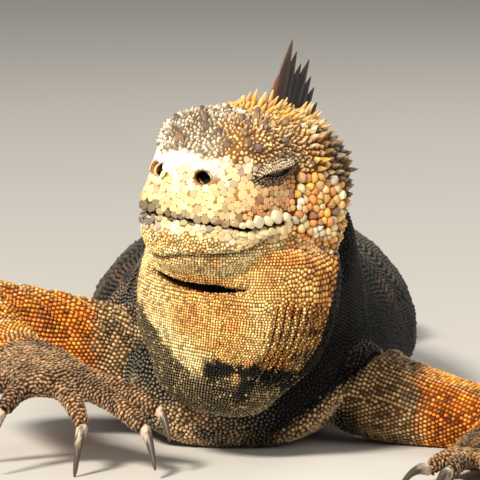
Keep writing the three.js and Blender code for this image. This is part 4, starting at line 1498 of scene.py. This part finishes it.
def tones_of():
    """The colour of each scale: the skin's tint made uneven, with stray beads and many-coloured lumps"""
    tone = np.clip(tint[corner] * (1 + uneven[corner][:, None] * grain), 0.003, MOST_LIGHT)
    tone = mix(tone, MAUVE * (1 + 0.3 * grain), 0.6 * on_knob)
    black_patch = spots(BLACK_PATCHES)
    in_black = np.where(kind == "pouch", 0.16 * (1 - black_patch), 0.06 * black_patch)[corner]
    lit = draw.random(len(where)) < in_black
    tone = np.where(lit[:, None], mix(tone, mix(WHEAT, OLIVE, 0.4), draw.uniform(0.3, 0.9, len(where))), tone)
    tone = np.where((kind_at == "jowl")[:, None], picked(JOWL_COLOURS, 0.86 + 0.2 * grain), tone)
    thorns = mix(tone, picked(THORN_COLOURS, 1 + 0.2 * grain), 0.7)
    tone = np.where((kind_at == "thorny")[:, None], thorns, tone)
    dull = smooth(-6, -16, head_place[:, 0]) * smooth(12, 20, head_place[:, 2]) * (kind_at == "thorny")
    return mix(tone, DULL, 0.8 * dull)


height = heights_of()
tone = tones_of()


# The layers of scales

GROUPS = [
    # name, kinds, form, width and length for the gap, share of the cell that is filled or 0, slot
    ("back_scales", ("back", "belly", "tail"), KEELED, (1, 1.15), 0, "body_skin"),
    ("neck_beads", ("neck",), BEAD, (1, 1), 0.97, "body_skin"),
    ("leg_scales", ("leg",), KEELED, (1, 1.1), 0, "body_skin"),
    ("arm_scales", ("arm",), KEELED, (1, 1.25), 0, "arm_skin"),
    ("hand_scales", ("hand", "foot"), BEAD, (1.35, 0.8), 0, "foot_skin"),
    ("throat_beads", THROAT_KINDS, BEAD, (1, 1), 1.0, "throat_skin"),
    ("face_plates", ("snout",), TILE, (1, 1), 1.08, "face_skin"),
    ("muzzle_scales", ("muzzle", "lip"), TILE, (1, 1), 1.1, "face_skin"),
    ("cheek_scales", ("cheek",), TILE, (1, 1), 1.0, "face_skin"),
    ("crown_granules", ("crown", "eyelid"), GRANULE, (1, 1), 0.98, "face_skin"),
    ("jowl_scales", ("jowl",), LUMP, (1, 1), 1.1, "face_skin"),
    ("cheek_thorns", ("thorny",), CHUNK, (1, 1), 0.9, "face_skin"),
]
FACETED = ("face_plates", "muzzle_scales", "cheek_scales", "crown_granules", "cheek_thorns", "jowl_scales")
# Groups whose painted highlight on the tips is the warmer TIP_LIGHT
SUNNY = ("arm_scales", "throat_beads", "crown_granules", "cheek_thorns", "cheek_scales")
for name, kinds, form, share, crack, slot in GROUPS:
    chosen = np.flatnonzero(np.isin(kind_at, kinds))
    size = np.stack((width * share[0], width * share[1], height), axis=1)[chosen]
    reach = outlines(chosen, form, up[chosen], lies[chosen], crack) if crack else None
    lay(name, form, where[chosen], up[chosen], lies[chosen], size, tone[chosen], patches[corner[chosen]],
        SCALE, between[corner[chosen]], pale[corner[chosen]], TIP_LIGHT if name in SUNNY else CREAM,
        name not in FACETED, reach)


# The skin itself, with fewer faces where the scales hide it

FACES_KEPT = 0.4  # as a share


def fewer_faces(thing, shown):
    """Joins small faces where the scales hide the skin, and leaves the features that show as they are"""
    group = thing.vertex_groups.new(name="hidden")
    group.add([int(i) for i in np.flatnonzero(~shown)], 1.0, "REPLACE")
    step = thing.modifiers.new("fewer", "DECIMATE")
    step.ratio = FACES_KEPT
    step.vertex_group = "hidden"
    finished(thing)
    thing.vertex_groups.clear()
    thing.data.uv_layers.remove(thing.data.uv_layers["OFBake"])
    unwrap(thing)


in_sight = (to_mouth < 6) | (to_nostril < 6) | (lid_ring < 1.5) | (to_chin_fold < 3)
fewer_faces(skin, in_sight)
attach(skin, "root")
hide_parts(*SPINY, *LIMBS)


# Larger scales of the head

class Copies:
    """Copies of one form: the spot, up, lie, size and colour of each, and the skin's corner under it"""

    def __init__(self):
        self.rows = []

    def add(self, spot, up, lie, size, colour, corner):
        """One more copy"""
        self.rows.append((spot, up, lie, size, colour, corner))

    def lay(self, name, form, finish, slot, between, pale, tip=CREAM):
        """Lays all the copies as joined meshes"""
        spots, ups, lies, sizes, colours, corners = (np.array(column) for column in zip(*self.rows))
        lay(name, form, spots, ups, lies, sizes, np.clip(colours, 0, MOST_LIGHT), patches[corners], finish,
            between, pale, tip)


ABOVE_HEAD = 70  # rays down onto the head start at this height
BESIDE_HEAD = 60  # rays at the lids start this far to the side
HORN_GAP = 4.6
SEEN_HORN = (3.3, 0.8)  # width, and height for the width
OTHER_HORN = (2.3, 0.55)


def make_horns():
    """The large blunt horns of the crown among its granules"""
    found = [nearest(tree, from_head(place)) for place in CROWN_HORNS]
    for c in draw.permutation(np.flatnonzero((kind == "crown") & (at[:, 0] > -6))):
        if all(np.linalg.norm(points[c] - p) > HORN_GAP for p, _, _ in found):
            found.append((points[c], facing[c], c))
    spots, ups, corners = (np.array([f[k] for f in found]) for k in range(3))
    seen = np.arange(len(found)) < len(CROWN_HORNS)
    wide = np.where(seen, SEEN_HORN[0], OTHER_HORN[0]) * draw.uniform(0.85, 1.2, len(found))
    tall = np.where(seen, SEEN_HORN[1], OTHER_HORN[1]) * draw.uniform(0.75, 1.2, len(found))
    sizes = np.stack((wide, wide, wide * tall), axis=1)
    sides = len(ways_of(BLUNT_HORN)[0])
    reach = wide[:, None] * 0.5 * draw.uniform(0.8, 1.2, (len(found), sides))
    colours = mix(PURPLE, TAN, draw.uniform(0, 0.5, len(found)))
    lies = draw.normal(size=(len(found), 3))
    lay("crown_horns", BLUNT_HORN, spots - ups * 0.3, unit(ups - HEAD_AXES[0] * 0.2), lies, sizes, colours,
        patches[corners], SCALE, 0.5, 0.8, tip=MAUVE, rounded=False, outline=reach)


make_horns()


def rows_of_lip(lift, gaps, length, height, name, front, rear):
    """A row of plates along a lip, small in front and larger towards the corners of the mouth"""
    path = round_mouth(tree, lift, 700)
    along = lengths_along(path)
    row = Copies()
    place = gaps[1] / 2
    while place < along[-1]:
        p = point_at(place, along, path)
        to_front = float(smooth(20, 27, to_head(p)[0]))
        step = (gaps[0] * to_front + gaps[1] * (1 - to_front)) * draw.uniform(0.7, 1.2)
        long = length * (step / gaps[1]) ** 0.7 * draw.uniform(0.7, 1.15)
        high = height * (1 - 0.7 * to_front) * draw.uniform(0.75, 1.15)
        p = p + HEAD_AXES[2] * (long - length) / 2 * np.sign(lift) + draw.normal(size=3) * 0.12
        p, n, c = nearest(tree, p)
        up = unit(n + draw.normal(size=3) * 0.08)
        lie = HEAD_AXES[2] + draw.normal(size=3) * 0.16
        colour = mix(rear, front, to_front * float(smooth(-0.2, 0.6, draw.normal() * 0.5 + 0.3)))
        row.add(p - n * height * 0.3, up, lie, (step * 1.12, long, high), colour, c)
        place += step
    row.lay(name, LIP_PLATE, SCALE, "face_skin", 0.45, 0.15)


def lip_plate():
    """A square plate with rounded edges"""
    def build(form):
        bmesh.ops.create_cube(form, size=1)
        bmesh.ops.bevel(form, geom=form.edges[:], offset=0.3, offset_type="OFFSET", segments=2, profile=0.5,
                        affect="EDGES", material=-1)
        bmesh.ops.translate(form, verts=form.verts, vec=(0, 0, 0.5))
    return form_of(build)


LIP_PLATE = lip_plate()
rows_of_lip(lift=2.4, gaps=(1.7, 3.9), length=3.5, height=2.0, name="upper_lip",
            front=mix(AMBER, SLATE, 0.5), rear=mix(PALE, CREAM, 0.5))
rows_of_lip(lift=-1.9, gaps=(1.4, 2.6), length=2.7, height=0.9, name="lower_lip",
            front=mix(CREAM, TAN, 0.2), rear=mix(LIP, PALE, 0.6))

RIM_THICK = 0.45
RIM_RADIUS = 2.9
RIM_STRETCH = (1.12, 0.85)  # along the head and across
RIM_REACH = 3.4  # the rim's place is found from the skin this far above and below the opening
RIM_LIFT = 0.35
RIM_COLOUR = mix(TAN, CREAM, 0.4)


def make_nostrils():
    """A raised rim round each nostril"""
    for name, sign in (("nostril_left", 1), ("nostril_right", -1)):
        form = bmesh.new()
        ring = bmesh.ops.create_circle(form, segments=10, radius=RIM_THICK)["verts"]
        bmesh.ops.translate(form, verts=ring, vec=(RIM_RADIUS, 0, 0))
        upright = Matrix.Rotation(math.pi / 2, 3, "X")
        bmesh.ops.rotate(form, verts=ring, cent=(RIM_RADIUS, 0, 0), matrix=upright)
        bmesh.ops.spin(form, geom=form.verts[:] + form.edges[:], cent=(0, 0, 0), axis=(0, 0, 1),
                       angle=math.tau, steps=28, use_merge=True)
        bmesh.ops.remove_doubles(form, verts=form.verts, dist=0.01)
        bmesh.ops.recalc_face_normals(form, faces=form.faces)
        p, n, _ = nearest(tree, from_head(NOSTRIL * (1, sign, 1) + (0, 0, RIM_REACH)))
        q, m, _ = nearest(tree, from_head(NOSTRIL * (1, sign, 1) - (0, 0, RIM_REACH)))
        up = unit(n + m)
        middle = (p + q) / 2 + up * RIM_LIFT
        lean = -HEAD_AXES[0] + HEAD_AXES[2] * 0.35
        back = unit(lean - up * np.dot(lean, up))
        over = np.cross(up, back)
        for corner in form.verts:
            x, y, z = corner.co
            corner.co = (middle + back * x * RIM_STRETCH[0] + over * y * RIM_STRETCH[1] + up * z) * MM
        data = bpy.data.meshes.new(name)
        form.to_mesh(data)
        form.free()
        data.shade_smooth()
        paint(data, np.tile(RIM_COLOUR, (len(data.vertices), 1)))
        data.materials.append(SCALE)
        thing = linked(name, data)
        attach(thing, "root")


make_nostrils()


LID_ROWS = {1: 5, -1: 4}  # of the upper and the lower lid
LID_GAP = 0.7
LID_ROW_GAP = 0.72
LID_EDGE = 0.35  # from the slit to the first row
LID_BEAD = np.array((1.1, 1.1, 0.34))  # width, length and height for the gap
UPPER_LID = mix(CREAM, TAN, 0.35)
LOWER_LID = mix(SLATE, TAN, 0.25)


def make_lids():
    """Rows of fine beads that follow the slit, on the upper and the lower lid"""
    beads = Copies()
    for sign in (1, -1):
        for over_slit in (1, -1):
            for row in range(LID_ROWS[over_slit]):
                gap = LID_GAP + 0.05 * row
                reach = SLIT_HALF + 0.4 * row
                lid = UPPER_LID if over_slit > 0 and row > 0 else LOWER_LID
                for back_at in np.arange(-reach, reach, gap):
                    bend = 1 - (back_at / reach) ** 2
                    edge = (over_slit * SLIT_OPEN - SLIT_BEND) * bend
                    rise_at = edge + over_slit * (LID_EDGE + LID_ROW_GAP * row) * (0.15 + 0.85 * bend ** 0.5)
                    rise_at += draw.normal() * 0.1
                    x = SLIT_CENTRE[0] - back_at * math.cos(SLIT_TILT) + rise_at * math.sin(SLIT_TILT)
                    z = SLIT_CENTRE[1] + back_at * math.sin(SLIT_TILT) + rise_at * math.cos(SLIT_TILT)
                    start = from_head((x, sign * BESIDE_HEAD, z))
                    hit, _, face = cast(tree, start, -sign * HEAD_AXES[1], BESIDE_HEAD)
                    if hit is None:
                        continue
                    c = face_corner[face]
                    size = LID_BEAD * gap * draw.uniform(0.85, 1.1)
                    colour = lid * draw.uniform(0.75, 1.2)
                    beads.add(hit, facing[c], -HEAD_AXES[0], size, colour, c)
    beads.lay("lid_beads", BEAD, SCALE, "face_skin", 0.35, 0.25)


make_lids()


# Eyes and claws

EYE_BROWN = linear(40, 24, 14)


def make_eyes():
    """A dark ball behind each pair of lids"""
    for name, sign in (("eye_left", 1), ("eye_right", -1)):
        form = bmesh.new()
        bmesh.ops.create_uvsphere(form, u_segments=32, v_segments=20, radius=EYE_RADIUS * MM)
        centre = from_head(EYE_SEAT * (1, sign, 1)) * MM
        bmesh.ops.translate(form, verts=form.verts, vec=Vector(centre))
        data = bpy.data.meshes.new("eyeball" + name[3:])
        form.to_mesh(data)
        form.free()
        data.shade_smooth()
        paint(data, np.tile(EYE_BROWN, (len(data.vertices), 1)))
        data.materials.append(WET)
        thing = linked(data.name, data)
        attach(thing, "root")
        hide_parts(name)


make_eyes()


CLAW_GROWTH = 0.3  # how far the claws stand outside their solids
CLAW_FOOT = linear(206, 186, 168)
CLAW_DARK = linear(78, 68, 60)


def make_claws():
    """The claws, pale at the foot and dark towards the point, with lengthwise streaks"""
    claws = merged(CLAWS, "claws", CLAW_GROWTH)
    step = claws.modifiers.new("round", "SUBSURF")
    step.levels = step.render_levels = 2
    claws = finished(claws)
    claws.data.shade_smooth()
    where = points_of(claws.data)
    share = np.zeros(len(where))
    for name in CLAWS:
        own = points_of(NODES[name].data)
        palm = points_of(NODES[name.split("_claw")[0]].data).mean(axis=0)
        away = np.linalg.norm(own - palm, axis=1)
        low, high = own.min(0) - 1.5, own.max(0) + 1.5
        inside = np.all((where > low) & (where < high), axis=1)
        share[inside] = ((np.linalg.norm(where - palm, axis=1) - away.min()) / np.ptp(away))[inside]
    streak = cloud(where * (1, 1, 0.4), 0.9, 6)
    colours = mix(CLAW_FOOT, CLAW_DARK, smooth(0.12, 0.4, share + 0.2 * streak))
    paint(claws.data, colours)
    claws.data.materials.clear()
    claws.data.materials.append(HORN)
    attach(claws, "root")
    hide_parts(*CLAWS)


make_claws()


# Crest from the nape to the tail

# Spines on the head: place along it, height above the skin and lean back
NAPE_CREST = [
    (-8, 9, -0.1), (-9.5, 14, -0.1), (-11, 19, -0.05), (-12.5, 25.5, -0.05), (-15, 22, 0),
    (-18, 18.5, 0.05), (-21, 20.5, 0.1), (-24, 15, 0.15), (-27, 12, 0.2), (-30, 10, 0.3),
    (-33, 10, 0.35), (-36, 10, 0.4), (-39, 10, 0.4),
]
# On the body: length along the crest and the spines' height or spacing there
CREST_HEIGHT = [[0, 11], [60, 11], [110, 9], [420, 8.5], [620, 6.5], [840, 2.5]]
CREST_SPACING = [[0, 3.6], [60, 4.2], [110, 6], [500, 7], [840, 7]]
CREST_END = 12  # bare length at the end of the tail
CREST_BLACK = linear(28, 30, 34)
CREST_BROWN = linear(128, 84, 58)


def crest_path():
    """Points above the crest's line, from the nape to the end of the tail"""
    points = [np.array(p) for p in ((6.5, -31, 60), (1, -14, 55), (-3.5, 4, 45))]
    points += [np.array(p) for p in BODY_AXIS[1:]]
    return np.array(points) + PLACE


def make_crest():
    """Black blades from the nape, where they are tallest, along the back and the tail"""
    blades = Copies()
    for x, height, lean in NAPE_CREST:
        hit, _, face = cast(tree, from_head((x, 0, ABOVE_HEAD)), -HEAD_AXES[2], ABOVE_HEAD)
        up = unit(HEAD_AXES[2] - HEAD_AXES[0] * lean)
        size = (1.6 + 0.05 * height, 4.2 + 0.2 * height, height + 1)
        colour = mix(CREST_BROWN, CREST_BLACK, smooth(-9, -14, x))
        blades.add(hit - HEAD_AXES[2], up, -HEAD_AXES[0], size, colour, face_corner[face])
    path = crest_path()
    along = lengths_along(path)
    heights, gaps = np.array(CREST_HEIGHT), np.array(CREST_SPACING)
    place = 0.0
    while place < along[-1] - CREST_END:
        centre, ahead, behind = (point_at(place + step, along, path) for step in (0, 5, -5))
        way = unit(ahead - behind)
        rise_way = unit(np.array((0, 0, 1.0)) - way * way[2])
        hit, _, face = cast(tree, centre + rise_way * 60, -rise_way, 80)
        height = np.interp(place, heights[:, 0], heights[:, 1]) * draw.uniform(0.9, 1.05)
        if hit is not None:
            size = (1.2 + 0.07 * height, 3.6 + 0.28 * height, height + 1)
            colour = CREST_BLACK * draw.uniform(0.7, 1.2)
            blades.add(hit - rise_way, unit(rise_way + way * 0.15), way, size, colour, face_corner[face])
        place += np.interp(place, gaps[:, 0], gaps[:, 1])
    blades.lay("crest", BLADE, HORN, "body_skin", 0.9, 0.15, TAN)


make_crest()


SPIKE_ROWS = 5  # on each side
SHORTEST_SPIKE = 1.5


def make_nape_spikes():
    """Golden thorns that fan out on both sides of the foot of the crest, and along the edge of the nape"""
    spikes = Copies()
    for sign in (1, -1):
        for x in np.arange(5, -30, -2.5):
            for row in range(SPIKE_ROWS):
                side = sign * (1.8 + 2.5 * row + draw.uniform(-0.6, 0.6))
                place = x + draw.uniform(-0.6, 0.6)
                hit, _, face = cast(tree, from_head((place, side, ABOVE_HEAD)), -HEAD_AXES[2], ABOVE_HEAD)
                if hit is None:
                    continue
                c = face_corner[face]
                length = (7.4 - 0.9 * row) * smooth(11, -4, place) * draw.uniform(0.5, 1.1)
                if length < SHORTEST_SPIKE:
                    continue
                fan = sign * (0.15 + 0.2 * row) + draw.uniform(-0.2, 0.2)
                up = unit(facing[c] * 0.5 + HEAD_AXES[2] + HEAD_AXES[1] * fan)
                gold = mix(YELLOW, mix(PALE, RUST, draw.uniform(0, 0.7)), draw.uniform(0, 0.8))
                spikes.add(hit - facing[c] * 0.3, up, -HEAD_AXES[0], (3.0, 3.2, length), gold, c)
    spikes.lay("nape_spikes", THORN, SCALE, "face_skin", 0.3, 0.4)


make_nape_spikes()


# Floor and light

FLOOR_HALF = 20  # metres
FLOOR_GREY = (0.66, 0.65, 0.63, 1)
LAMP_AIM = Vector((0, -0.38, 0.07))  # metres
LAMPS = [
    # name, place and size in metres, power, colour
    ("key", (-0.85, -1.75, 1.42), 0.4, 66, (1.0, 0.91, 0.77)),
    ("fill", (1.6, -1.2, 0.8), 1.6, 8, (1.0, 0.96, 0.9)),
    ("rim", (0.7, 1.2, 1.6), 0.8, 12, (1.0, 0.95, 0.88)),
]
SKY = (1.0, 0.96, 0.9, 1)
SKY_STRENGTH = 0.28


def make_stage():
    """A plain pale floor"""
    form = bmesh.new()
    bmesh.ops.create_grid(form, x_segments=1, y_segments=1, size=FLOOR_HALF)
    data = bpy.data.meshes.new("floor")
    form.to_mesh(data)
    form.free()
    floor = linked("floor", data)
    pale = bpy.data.materials.new("pale_floor")
    pale.use_nodes = True
    shader = pale.node_tree.nodes["Principled BSDF"]
    shader.inputs["Base Color"].default_value = FLOOR_GREY
    shader.inputs["Roughness"].default_value = 0.9
    data.materials.append(pale)


def lamp(name, place, size, power, colour):
    """A square soft light that faces the head"""
    data = bpy.data.lights.new(name, "AREA")
    data.size = size
    data.energy = power
    data.color = colour
    thing = linked(name, data)
    thing.location = place
    way = LAMP_AIM - Vector(place)
    thing.rotation_euler = way.to_track_quat("-Z", "Y").to_euler()


def make_sky():
    """Even warm light from all round"""
    world = bpy.data.worlds.new("studio")
    world.use_nodes = True
    light = world.node_tree.nodes["Background"]
    light.inputs["Color"].default_value = SKY
    light.inputs["Strength"].default_value = SKY_STRENGTH
    bpy.context.scene.world = world


make_stage()
for entry in LAMPS:
    lamp(*entry)
make_sky()
bpy.context.scene.view_settings.view_transform = "Standard"
